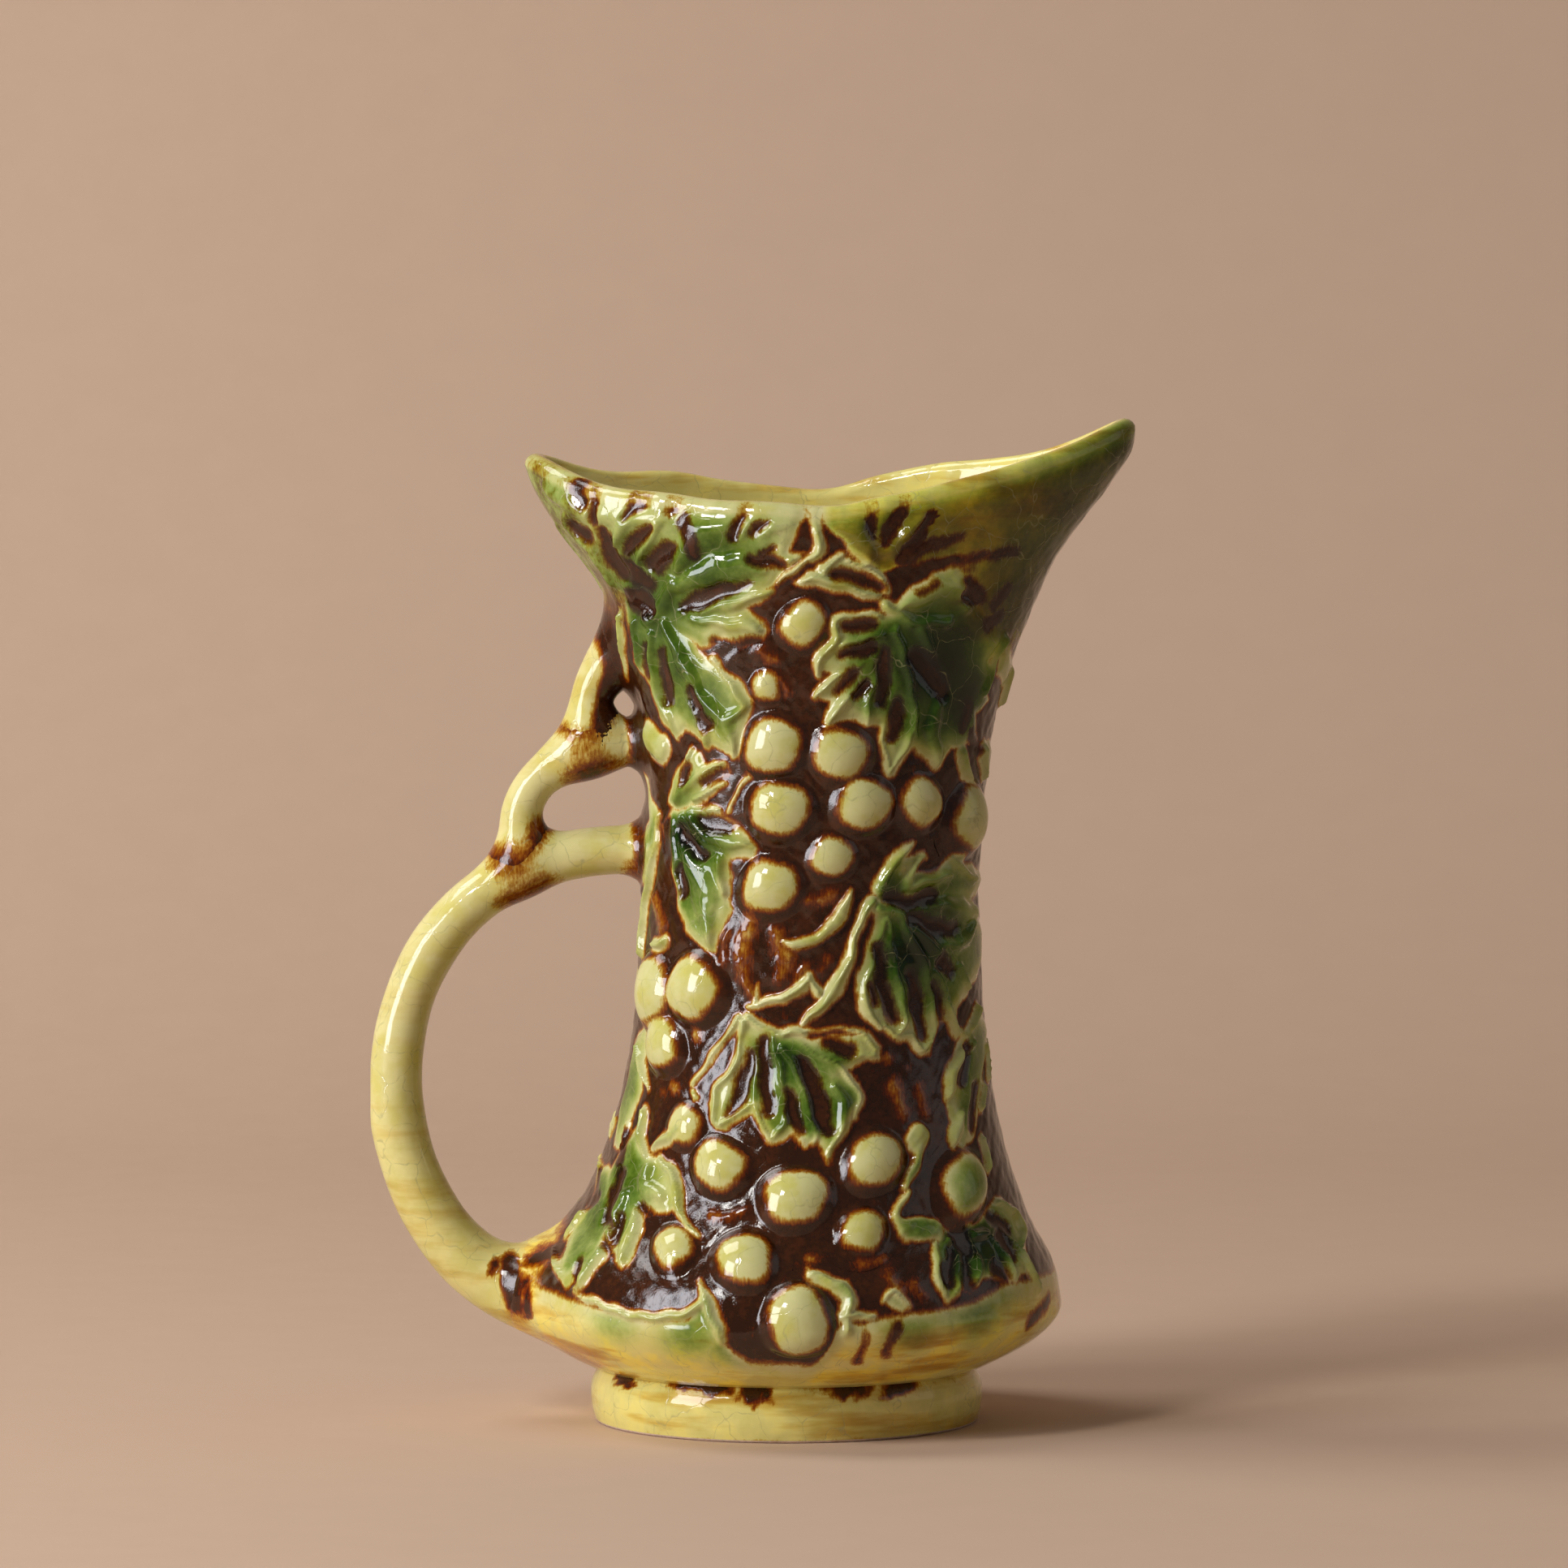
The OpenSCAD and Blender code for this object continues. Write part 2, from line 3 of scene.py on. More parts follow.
import bpy
import numpy as np
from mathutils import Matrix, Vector


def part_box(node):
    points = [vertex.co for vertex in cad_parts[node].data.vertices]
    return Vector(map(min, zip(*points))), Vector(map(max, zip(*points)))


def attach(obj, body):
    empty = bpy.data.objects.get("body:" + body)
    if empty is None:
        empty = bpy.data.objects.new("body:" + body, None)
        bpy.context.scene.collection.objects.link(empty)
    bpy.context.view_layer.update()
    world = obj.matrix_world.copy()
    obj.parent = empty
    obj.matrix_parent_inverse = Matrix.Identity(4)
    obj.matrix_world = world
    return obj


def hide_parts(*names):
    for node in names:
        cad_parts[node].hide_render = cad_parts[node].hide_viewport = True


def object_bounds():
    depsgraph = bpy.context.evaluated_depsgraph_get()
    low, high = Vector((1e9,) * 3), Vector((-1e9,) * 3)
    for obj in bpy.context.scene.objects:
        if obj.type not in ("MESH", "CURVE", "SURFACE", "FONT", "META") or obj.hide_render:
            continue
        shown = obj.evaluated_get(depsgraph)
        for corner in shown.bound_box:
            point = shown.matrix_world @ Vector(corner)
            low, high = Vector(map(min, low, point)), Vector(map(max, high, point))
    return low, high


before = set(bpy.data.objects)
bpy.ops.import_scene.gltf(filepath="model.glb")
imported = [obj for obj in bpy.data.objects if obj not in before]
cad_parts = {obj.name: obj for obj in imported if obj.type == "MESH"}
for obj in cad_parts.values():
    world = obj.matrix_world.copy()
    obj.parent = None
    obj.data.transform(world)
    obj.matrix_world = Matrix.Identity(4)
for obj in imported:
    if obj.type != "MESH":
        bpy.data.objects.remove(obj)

cad_box = [list(corner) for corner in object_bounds()]

bl_info = {
    "name": "Vine-leaf pitcher",
    "version": (1, 0, 0),
    "blender": (4, 5, 0),
    "location": "View3D > Sidebar > Pitcher",
    "description": "Models a glazed pitcher with moulded vine leaves, berries and a double-arched handle",
    "category": "Object",
}

MM = 0.001
FRONT = -math.pi / 2


# Sizes and glazes

class PitcherSizes(bpy.types.PropertyGroup):
    """Sizes of the pitcher's visible surface."""
    wall_low, wall_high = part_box("vessel_wall")
    foot_low, foot_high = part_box("foot_ring")
    loop_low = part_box("handle_loop")[0]
    tip_height: bpy.props.FloatProperty(
        name="Spout height", description="Height of the spout's tip",
        default=wall_high[2], unit="LENGTH")
    belly_depth: bpy.props.FloatProperty(
        name="Belly depth", description="Greatest size of the body from front to back",
        default=wall_high[1] - wall_low[1], unit="LENGTH")
    belly_width: bpy.props.FloatProperty(
        name="Belly width", description="Greatest size of the body from handle side to spout side",
        default=0.12, unit="LENGTH")
    belly_lean: bpy.props.FloatProperty(
        name="Belly lean", description="How far the belly leans to the spout side",
        default=0.002, unit="LENGTH")
    belly_height: bpy.props.FloatProperty(
        name="Belly height", description="Height of the widest part",
        default=0.027, unit="LENGTH")
    waist_width: bpy.props.FloatProperty(
        name="Waist width", description="Width of the narrowest part",
        default=0.075, unit="LENGTH")
    waist_lean: bpy.props.FloatProperty(
        name="Waist lean", description="How far the waist leans to the spout side",
        default=0.0054, unit="LENGTH")
    waist_height: bpy.props.FloatProperty(
        name="Waist height", description="Height of the narrowest part",
        default=0.122, unit="LENGTH")
    rim_height: bpy.props.FloatProperty(
        name="Rim height", description="Height of the rim at the front and back",
        default=0.21, unit="LENGTH")
    thumb_height: bpy.props.FloatProperty(
        name="Thumb rest height", description="Height of the rim above the handle",
        default=0.221, unit="LENGTH")
    spout_reach: bpy.props.FloatProperty(
        name="Spout reach", description="Reach of the spout from the axis",
        default=0.08, unit="LENGTH")
    thumb_reach: bpy.props.FloatProperty(
        name="Thumb rest reach", description="Reach of the rim above the handle",
        default=0.0605, unit="LENGTH")
    mouth_depth: bpy.props.FloatProperty(
        name="Mouth depth", description="Size of the mouth from front to back",
        default=0.078, unit="LENGTH")
    wall_thickness: bpy.props.FloatProperty(
        name="Wall thickness", description="Thickness of the wall",
        default=0.005, unit="LENGTH")
    floor_height: bpy.props.FloatProperty(
        name="Floor height", description="Height of the inside floor",
        default=0.01925, unit="LENGTH")
    foot_height: bpy.props.FloatProperty(
        name="Foot height", description="Height of the foot ring",
        default=foot_high[2] - foot_low[2], unit="LENGTH")
    foot_width: bpy.props.FloatProperty(
        name="Foot width", description="Outer width of the foot ring",
        default=foot_high[0] - foot_low[0], unit="LENGTH")
    handle_reach: bpy.props.FloatProperty(
        name="Handle reach", description="Reach of the handle from the axis",
        default=-loop_low[0], unit="LENGTH")
    leaf_relief: bpy.props.FloatProperty(
        name="Leaf relief", description="Height of the leaves above the wall",
        default=0.0017, unit="LENGTH")
    rib_relief: bpy.props.FloatProperty(
        name="Rib relief", description="How far a leaf's ribs are rounded up",
        default=0.0009, unit="LENGTH")


class PitcherGlazes(bpy.types.PropertyGroup):
    """Colours of the pitcher's glazes."""
    cream: bpy.props.FloatVectorProperty(
        name="Cream", description="Glaze on the berries and the leaf margins",
        subtype="COLOR", default=(0.62, 0.575, 0.275))
    straw: bpy.props.FloatVectorProperty(
        name="Straw", description="Yellower patches of the cream glaze",
        subtype="COLOR", default=(0.57, 0.51, 0.15))
    yellow: bpy.props.FloatVectorProperty(
        name="Yellow", description="Glaze inside the mouth and round the foot",
        subtype="COLOR", default=(0.92, 0.75, 0.11))
    leaf: bpy.props.FloatVectorProperty(
        name="Leaf green", description="What one coat of the green glaze lets through",
        subtype="COLOR", default=(0.17, 0.295, 0.075))
    amber: bpy.props.FloatVectorProperty(
        name="Amber", description="What one coat of the brown glaze lets through",
        subtype="COLOR", default=(0.54, 0.27, 0.06))
    brown: bpy.props.FloatVectorProperty(
        name="Brown", description="Brown glaze pooled on the ground",
        subtype="COLOR", default=(0.026, 0.0075, 0.002))
    clay: bpy.props.FloatVectorProperty(
        name="Clay", description="Bare clay under the foot",
        subtype="COLOR", default=(0.66, 0.5, 0.4))
    floor: bpy.props.FloatVectorProperty(
        name="Floor", description="Colour of the floor and backdrop",
        subtype="COLOR", default=(0.56, 0.40, 0.29))


# The photograph's view: its size and middle in pixels, the millimetres to a pixel at the pitcher's axis,
# where the camera stands and aims, in millimetres, and the width of its sensor

IMAGE_SIZE = 1932
MID_PIXEL = IMAGE_SIZE / 2
PIXEL = 0.185
EYE = np.array([-0.6, -2500.0, 329.0])
AIM = np.array([-0.6, 0.0, 145.6])
SENSOR = 36.0


def view_axes():
    """Forward, right and up of the photograph's view, and its focal length in pixels."""
    forward = AIM - EYE
    away = np.linalg.norm(forward)
    forward = forward / away
    right = np.array([1.0, 0.0, 0.0])
    return forward, right, np.cross(right, forward), away / PIXEL


# Small curves

def to_front(a):
    """Angles round the wall brought to the front half, from the far half by mirroring."""
    return -np.abs((a + math.pi) % (2 * math.pi) - math.pi)


def ease(low, high, x):
    """0 below low, 1 above high, smooth between."""
    t = np.clip((x - low) / (high - low), 0, 1)
    return t * t * (3 - 2 * t)


def merge(a, b, soft):
    """The larger of two heights with the step between them rounded over."""
    h = np.clip(0.5 + 0.5 * (b - a) / soft, 0, 1)
    return a * (1 - h) + b * h + soft * h * (1 - h)


def through(shares, x):
    """Smooth curve through given shares."""
    knots = np.array(shares, float)
    xs, ys = knots[:, 0], knots[:, 1]
    n = len(xs)
    after, before = np.minimum(np.arange(n) + 1, n - 1), np.maximum(np.arange(n) - 1, 0)
    slopes = (ys[after] - ys[before]) / (xs[after] - xs[before])
    x = np.clip(x, xs[0], xs[-1])
    i = np.clip(np.searchsorted(xs, x, side="right") - 1, 0, n - 2)
    h = xs[i + 1] - xs[i]
    s = (x - xs[i]) / h
    return ((2 * s**3 - 3 * s**2 + 1) * ys[i] + (s**3 - 2 * s**2 + s) * h * slopes[i]
            + (3 * s**2 - 2 * s**3) * ys[i + 1] + (s**3 - s**2) * h * slopes[i + 1])


# The wall

HIP_SHARES = [(0, 1), (.09, .91), (.21, .6), (.42, .27), (.67, .08), (1, 0)]
SPOUT_SHARES = [(0, 0), (.26, .055), (.4, .125), (.53, .25), (.71, .48), (.85, .775), (.93, .93), (1, 1)]
THUMB_SHARES = [(0, 0), (.35, .02), (.57, .22), (.7, .36), (.84, .72), (.92, .89), (1, 1)]
FOOT_BULGE = 14.0
PINCH = 0.3
UNDER_POWER = 1.75
# the slip between the foot and the wall is the wall's thickness over this
SLIP_PARTS = 20
# small waves of the rim: how many to the round, where they start, and their height in millimetres
RIM_WAVES = [(9, 0.6, 0.35), (17, 2, 0.15)]
# rise of the rim over its height at the front, in millimetres, from the thumb rest to the spout's tip
RIM_RISES = [
    (-1, 11), (-.8, 5.2), (-.45, 2.6), (-.15, 1.8), (.08, .5), (.25, 3.2), (.45, 5.8), (.75, 11.2), (1, 19),
]
# how much more it rises on the far side
FAR_RISES = [
    (-1, 0), (-.75, 1.6), (-.5, 2.4), (-.2, .5), (0, .3), (.2, 1.5), (.4, 2.2), (.6, .4), (.75, -1),
    (.9, -.8), (1, 0),
]
# levels and turns at which the wall is measured for laying it out flat
LEVELS, TURNS = 120, 181
# first guess of the wall's radius, least length to a radian, and steps, for rolling flat places back on
ROLL_R, ROLL_LEAST, ROLL_STEPS = 45, 8, 8
# distances from the camera between which the near side of the wall lies, and how they are searched
NEAR_SIDE, FAR_SIDE, LOOKS, HALVINGS = 2395, 2520, 400, 20


class Wall:
    """The pitcher's wall, in millimetres: a round body drawn out to a spout and a thumb rest."""

    def __init__(self, sizes):
        self.belly_h = sizes.belly_height / MM
        self.waist_h = sizes.waist_height / MM
        self.rim_h = sizes.rim_height / MM
        self.tip_h = sizes.tip_height / MM
        self.thumb_h = sizes.thumb_height / MM
        self.wall_t = sizes.wall_thickness / MM
        self.floor_z = sizes.floor_height / MM
        self.foot_h = sizes.foot_height / MM
        belly, lean = sizes.belly_width / MM / 2, sizes.belly_lean / MM
        waist, waist_lean = sizes.waist_width / MM / 2, sizes.waist_lean / MM
        self.spout = (belly + lean, waist + waist_lean, sizes.spout_reach / MM, self.tip_h, SPOUT_SHARES)
        self.thumb = (belly - lean, waist - waist_lean, sizes.thumb_reach / MM, self.thumb_h, THUMB_SHARES)
        self.depth = (sizes.belly_depth / MM / 2, waist, sizes.mouth_depth / MM / 2, self.rim_h,
                      SPOUT_SHARES)
        half_foot = sizes.foot_width / MM / 2
        self.foot_r = half_foot
        self.foot_top_r = half_foot - FOOT_BULGE + math.sqrt(FOOT_BULGE**2 - (self.foot_h / 2)**2)
        self.lip = self.wall_t / 2
        self.base_z = self.foot_h + self.wall_t / SLIP_PARTS
        self.unrolled()

    def reach(self, z, side):
        """Reach of one side of the section at a height."""
        belly, waist, lip, lip_z, shares = side
        under = self.foot_top_r + (belly - self.foot_top_r) * (
            1 - np.clip((self.belly_h - z) / (self.belly_h - self.foot_h), 0, 1)**UNDER_POWER)
        up_hip = (z - self.belly_h) / (self.waist_h - self.belly_h)
        up_neck = (z - self.waist_h) / (lip_z - self.waist_h)
        hip = waist + (belly - waist) * through(HIP_SHARES, up_hip)
        neck = waist + (lip - waist) * through(shares, up_neck)
        return np.where(z < self.belly_h, under, np.where(z < self.waist_h, hip, neck))

    def section(self, z):
        """Middle, half width, half depth and pinch of the section at a height."""
        spout, thumb = self.reach(z, self.spout), self.reach(z, self.thumb)
        pinch = PINCH * np.clip((z - self.waist_h) / (self.tip_h - self.waist_h), 0, 1)**2
        return (spout - thumb) / 2, (spout + thumb) / 2, self.reach(z, self.depth), pinch

    def point(self, a, z, inset=0.0):
        """A place on the wall from its angle round the section, its height and its inset."""
        middle, half, depth, pinch = self.section(z)
        return np.stack([middle + (half - inset) * np.cos(a),
                         (depth - inset) * np.sin(a) * (1 - pinch * np.cos(a)**2),
                         z + 0 * a], -1)

    def normal(self, a, z):
        """Outward direction of the wall."""
        turn, lift = 0.004, 0.4
        across = self.point(a + turn, z) - self.point(a - turn, z)
        along = self.point(a, z + lift) - self.point(a, z - lift)
        n = np.cross(across, along)
        return n / np.maximum(np.linalg.norm(n, axis=-1, keepdims=True), 1e-9)

    def rim(self, a):
        """Height of the rim round the mouth, with the small waves of a hand-trimmed edge."""
        turn = -to_front(a)
        waves = sum(np.sin(count * turn + start) * high for count, start, high in RIM_WAVES)
        far = np.where(np.sin(a) > 0, through(FAR_RISES, np.cos(a)), 0)
        return self.rim_h + through(RIM_RISES, np.cos(a)) + waves * np.sin(a)**2 + far

    def outside(self, p):
        """How far a point is outside the wall, nearly, in millimetres."""
        middle, half, depth, pinch = self.section(p[..., 2])
        c = (p[..., 0] - middle) / half
        d = depth * (1 - pinch * np.minimum(c * c, 1))
        return (np.sqrt(c * c + (p[..., 1] / d)**2) - 1) * np.minimum(half, d)

    def unrolled(self):
        """Lengths round the wall from the front, and up it, for laying sprigs out flat."""
        self.levels = np.linspace(self.foot_h, self.tip_h, LEVELS)
        self.turns = np.linspace(-math.pi, 0, TURNS)
        a, z = np.meshgrid(self.turns, self.levels)
        p = self.point(a, z)
        step = np.linalg.norm(np.diff(p, axis=1), axis=-1)
        across = np.concatenate([np.zeros((len(self.levels), 1)), np.cumsum(step, 1)], 1)
        self.across = across - across[:, [TURNS // 2]]
        front = self.point(np.full_like(self.levels, FRONT), self.levels)
        self.along = np.concatenate([[0], np.cumsum(np.linalg.norm(np.diff(front, axis=0), axis=-1))])

    def unroll(self, a, z):
        """Places laid out flat: length round from the front, and length up."""
        a = to_front(a)
        x = np.clip((a - self.turns[0]) / (self.turns[1] - self.turns[0]), 0, len(self.turns) - 1.001)
        y = np.clip((z - self.levels[0]) / (self.levels[1] - self.levels[0]), 0, len(self.levels) - 1.001)
        i, j = x.astype(int), y.astype(int)
        s, t = x - i, y - j
        u = ((self.across[j, i] * (1 - s) + self.across[j, i + 1] * s) * (1 - t)
             + (self.across[j + 1, i] * (1 - s) + self.across[j + 1, i + 1] * s) * t)
        return u, np.interp(z, self.levels, self.along)

    def roll(self, u, v):
        """Angle and height of places that were laid out flat."""
        z = np.interp(v, self.along, self.levels)
        a = FRONT + u / ROLL_R
        nudge = 0.01
        for _ in range(ROLL_STEPS):
            here = self.unroll(a, z)[0]
            slope = (self.unroll(a + nudge, z)[0] - self.unroll(a - nudge, z)[0]) / (2 * nudge)
            a = np.clip(a - (here - u) / np.maximum(slope, ROLL_LEAST), -math.pi + 2 * nudge, -2 * nudge)
        return a, z

    def seen_at(self, x, y):
        """Angle and height of the wall seen at a pixel of the photograph."""
        forward, right, up, focal = view_axes()
        x, y = np.asarray(x, float), np.asarray(y, float)
        ray = forward * focal + right * (x - MID_PIXEL)[:, None] + up * (MID_PIXEL - y)[:, None]
        ray /= np.linalg.norm(ray, axis=1, keepdims=True)
        steps = np.linspace(NEAR_SIDE, FAR_SIDE, LOOKS)
        out = self.outside(EYE + ray[:, None, :] * steps[None, :, None])
        found = out <= 0
        first = np.where(found.any(1), found.argmax(1), out.argmin(1))
        far = steps[first]
        near = np.where(found.any(1), steps[np.maximum(first - 1, 0)], far)
        for _ in range(HALVINGS):
            mid = (near + far) / 2
            inside = self.outside(EYE + ray * mid[:, None]) <= 0
            far, near = np.where(inside, mid, far), np.where(inside, near, mid)
        p = EYE + ray * far[:, None]
        middle, half, depth, pinch = self.section(p[:, 2])
        return -np.abs(np.arctan2(p[:, 1] / depth, (p[:, 0] - middle) / half)), p[:, 2]


# Sprigs, drawn on the photograph: each stroke is a row of pixels x, y with half the stroke's width

LEAF_RIBS = {
    "rim": [
        [(1003, 628, 6), (1007, 652, 8), (1009, 678, 8), (999, 690, 5)],
        [(1020, 635, 10), (1045, 640, 20), (1058, 662, 20), (1070, 690, 12)],
        [(1040, 622, 10), (1090, 618, 14), (1140, 603, 14), (1190, 582, 9)],
        [(1108, 662, 10), (1132, 638, 10)],
    ],
    "collar_left": [
        [(690, 585, 16), (715, 605, 20), (745, 620, 22), (785, 625, 24), (825, 630, 18)],
        [(715, 640, 12), (740, 670, 12), (760, 705, 8), (768, 718, 4)],
        [(690, 650, 7), (715, 690, 6), (732, 722, 4)],
        [(785, 640, 14), (772, 668, 6)],
        [(820, 645, 14), (800, 690, 7)],
        [(845, 700, 10), (870, 655, 26), (915, 640, 28), (960, 640, 22), (980, 632, 12)],
        [(838, 722, 12), (890, 700, 20), (940, 695, 16), (970, 690, 8), (987, 686, 4)],
        [(850, 752, 10), (895, 745, 13), (925, 738, 10), (950, 728, 7)],
        [(858, 762, 6), (900, 768, 11), (928, 772, 13), (940, 776, 7)],
        [(772, 757, 4), (776, 795, 5), (778, 830, 4)],
        [(792, 765, 6), (795, 800, 6), (797, 818, 4)],
        [(812, 778, 7), (814, 820, 8), (822, 860, 9), (834, 888, 7), (841, 908, 3)],
        [(828, 766, 8), (846, 808, 12), (862, 845, 13), (874, 885, 14), (876, 915, 8)],
        [(866, 850, 10), (892, 885, 14), (907, 908, 10), (907, 930, 5)],
        [(882, 810, 4), (898, 832, 5), (910, 852, 7), (920, 868, 9)],
        [(895, 890, 12), (922, 870, 8)],
        [(810, 760, 14), (830, 740, 14), (838, 715, 10)],
    ],
    "collar_right": [
        [(985, 716, 4), (1008, 712, 11), (1045, 722, 8), (1080, 734, 7)],
        [(1015, 702, 10), (1038, 684, 4)],
        [(1045, 690, 5), (1078, 707, 7), (1090, 728, 6)],
        [(1080, 758, 6), (1050, 757, 5), (1027, 766, 7), (1032, 786, 9), (1012, 806, 9), (1008, 830, 5)],
        [(1085, 782, 8), (1058, 786, 9), (1035, 795, 8)],
        [(1060, 818, 5), (1032, 834, 6), (1012, 848, 8), (1004, 860, 4)],
        [(1062, 838, 5), (1040, 865, 10), (1022, 884, 8), (1018, 892, 3)],
        [(1090, 798, 5), (1076, 835, 5), (1066, 872, 9), (1068, 893, 4)],
        [(1085, 890, 4), (1086, 922, 5), (1094, 950, 5)],
        [(1094, 948, 5), (1108, 925, 7), (1118, 900, 7)],
        [(1100, 775, 8), (1112, 820, 8), (1120, 862, 8), (1122, 905, 8)],
        [(1130, 770, 12), (1150, 850, 8), (1142, 895, 14), (1146, 925, 14), (1148, 942, 6)],
        [(1105, 748, 8), (1138, 730, 16), (1168, 724, 15), (1180, 745, 12)],
        [(1090, 745, 10), (1120, 765, 10), (1160, 765, 10)],
        [(1230, 785, 6), (1216, 815, 5), (1205, 848, 8)],
        [(1240, 830, 10), (1228, 860, 8)],
        [(1178, 925, 8), (1184, 950, 9), (1190, 962, 3)],
        [(1205, 925, 9), (1205, 955, 5)],
    ],
    "waist_left": [
        [(856, 924, 4), (850, 955, 11), (842, 985, 8)],
        [(852, 972, 10), (875, 950, 9), (894, 942, 5)],
        [(862, 985, 7), (884, 972, 5), (896, 965, 3)],
        [(925, 958, 3), (915, 966, 3), (908, 984, 3), (901, 999, 3)],
        [(858, 997, 6), (890, 999, 5)],
        [(855, 1005, 10), (885, 1030, 15), (910, 1038, 12), (932, 1042, 4)],
        [(845, 1005, 8), (855, 1060, 14), (872, 1100, 22), (876, 1140, 13), (881, 1168, 5)],
        [(890, 1060, 10), (895, 1100, 8)],
        [(817, 1003, 4), (815, 1040, 4), (808, 1080, 6), (801, 1125, 5), (797, 1175, 6)],
        [(835, 1010, 4), (838, 1060, 4), (842, 1110, 3)],
        [(812, 1165, 6), (825, 1160, 7)],
        [(806, 906, 13), (820, 922, 15)],
    ],
    "waist_right": [
        [(1080, 1095, 10), (1098, 1062, 10), (1115, 1043, 5), (1122, 1037, 2)],
        [(1112, 1085, 12), (1126, 1062, 6), (1134, 1054, 3)],
        [(1110, 1092, 10), (1140, 1083, 9), (1165, 1076, 6)],
        [(1168, 1056, 5), (1178, 1070, 6), (1192, 1082, 6)],
        [(1140, 1112, 6), (1170, 1118, 13), (1192, 1125, 9)],
        [(1160, 1165, 6), (1180, 1160, 10), (1190, 1140, 8)],
        [(1175, 1190, 6), (1185, 1215, 6)],
        [(1072, 1112, 9), (1056, 1140, 7), (1045, 1180, 8), (1031, 1212, 10), (1014, 1236, 10),
         (988, 1263, 4)],
        [(1086, 1135, 5), (1076, 1172, 3), (1069, 1200, 6), (1061, 1225, 8), (1070, 1250, 9),
         (1083, 1265, 5)],
        [(1090, 1130, 6), (1098, 1180, 5), (1105, 1220, 8), (1110, 1255, 8), (1102, 1277, 6)],
        [(1086, 1262, 6), (1100, 1278, 6), (1118, 1275, 6), (1131, 1295, 7), (1142, 1280, 6)],
        [(1108, 1135, 8), (1130, 1180, 10), (1141, 1220, 6), (1145, 1260, 6), (1141, 1288, 5)],
        [(1148, 1195, 6), (1160, 1230, 6), (1166, 1255, 8), (1174, 1274, 6)],
        [(1080, 1118, 10), (1110, 1130, 10), (1140, 1160, 10), (1160, 1190, 8)],
    ],
    "hip": [
        [(1192, 1285, 6), (1172, 1310, 9), (1165, 1338, 10), (1162, 1354, 5)],
        [(1176, 1272, 5), (1185, 1282, 6)],
        [(1178, 1375, 8), (1172, 1395, 12), (1170, 1410, 6)],
        [(1206, 1338, 4), (1203, 1366, 5)],
        [(1208, 1290, 4), (1212, 1330, 4)],
        [(1198, 1245, 7), (1190, 1265, 6)],
        [(1205, 1405, 5), (1212, 1440, 6)],
    ],
    "belly_centre": [
        [(925, 1240, 4), (950, 1233, 6), (980, 1222, 9), (998, 1206, 7)],
        [(998, 1203, 6), (1008, 1222, 8)],
        [(936, 1212, 2), (930, 1238, 4)],
        [(912, 1256, 7), (892, 1285, 5), (872, 1315, 4), (856, 1338, 4)],
        [(857, 1346, 5), (860, 1352, 5)],
        [(918, 1262, 10), (915, 1290, 6), (906, 1320, 7), (886, 1345, 7), (884, 1378, 7), (890, 1388, 5)],
        [(890, 1386, 6), (908, 1378, 5), (926, 1362, 5)],
        [(936, 1290, 3), (935, 1330, 3), (931, 1358, 5), (940, 1385, 6), (948, 1406, 5)],
        [(950, 1272, 4), (962, 1310, 8), (968, 1350, 6), (970, 1380, 6), (958, 1396, 6), (949, 1410, 3)],
        [(966, 1290, 8), (985, 1325, 7), (995, 1360, 5), (1005, 1396, 5), (1000, 1410, 3)],
        [(972, 1388, 4), (986, 1404, 4), (993, 1415, 2)],
        [(990, 1288, 4), (1012, 1302, 5), (1035, 1316, 6), (1051, 1337, 6), (1057, 1355, 6),
         (1052, 1378, 5)],
        [(1028, 1340, 8), (1040, 1365, 13), (1034, 1395, 8), (1022, 1420, 5), (1019, 1436, 2)],
        [(985, 1272, 4), (1015, 1268, 2), (1048, 1268, 4), (1063, 1277, 5)],
        [(1065, 1280, 5), (1078, 1292, 6)],
        [(1020, 1306, 5), (1055, 1303, 6), (1076, 1300, 6)],
        [(925, 1255, 8), (958, 1275, 7), (975, 1270, 8), (990, 1275, 6)],
    ],
    "belly_left": [
        [(842, 1395, 9), (822, 1407, 8), (809, 1416, 4)],
        [(818, 1432, 7), (835, 1452, 9), (838, 1482, 10), (845, 1503, 6), (853, 1516, 5), (862, 1526, 3)],
        [(805, 1440, 10), (800, 1465, 14), (818, 1475, 12)],
        [(790, 1495, 8), (782, 1525, 13), (770, 1553, 9), (770, 1564, 4)],
        [(775, 1475, 10), (762, 1515, 13), (742, 1550, 10), (722, 1578, 8), (712, 1592, 4)],
        [(745, 1432, 3), (741, 1465, 4), (727, 1495, 6), (712, 1520, 4), (703, 1533, 2)],
        [(765, 1378, 3), (757, 1402, 3)],
        [(800, 1370, 6), (795, 1400, 8), (800, 1425, 6)],
        [(692, 1545, 4), (697, 1575, 5)],
        [(780, 1385, 4), (770, 1420, 3)],
        [(793, 1290, 5), (798, 1320, 6), (803, 1342, 3)],
    ],
    "belly_right": [
        [(1150, 1535, 5), (1151, 1560, 7), (1156, 1588, 6), (1165, 1604, 3)],
        [(1172, 1568, 4), (1176, 1588, 8), (1168, 1598, 5)],
        [(1195, 1545, 6), (1202, 1572, 9), (1190, 1590, 3)],
        [(1215, 1528, 5), (1235, 1558, 8), (1246, 1575, 6)],
        [(1165, 1530, 8), (1190, 1525, 10), (1210, 1525, 8)],
        [(1222, 1482, 5), (1240, 1495, 7), (1254, 1520, 8), (1250, 1542, 5)],
        [(1240, 1532, 4), (1262, 1562, 6), (1274, 1592, 5)],
    ],
    "hem_left": [
        [(715, 1597, 3), (740, 1606, 5), (780, 1622, 7), (820, 1624, 8), (850, 1619, 8), (870, 1602, 8),
         (864, 1581, 3)],
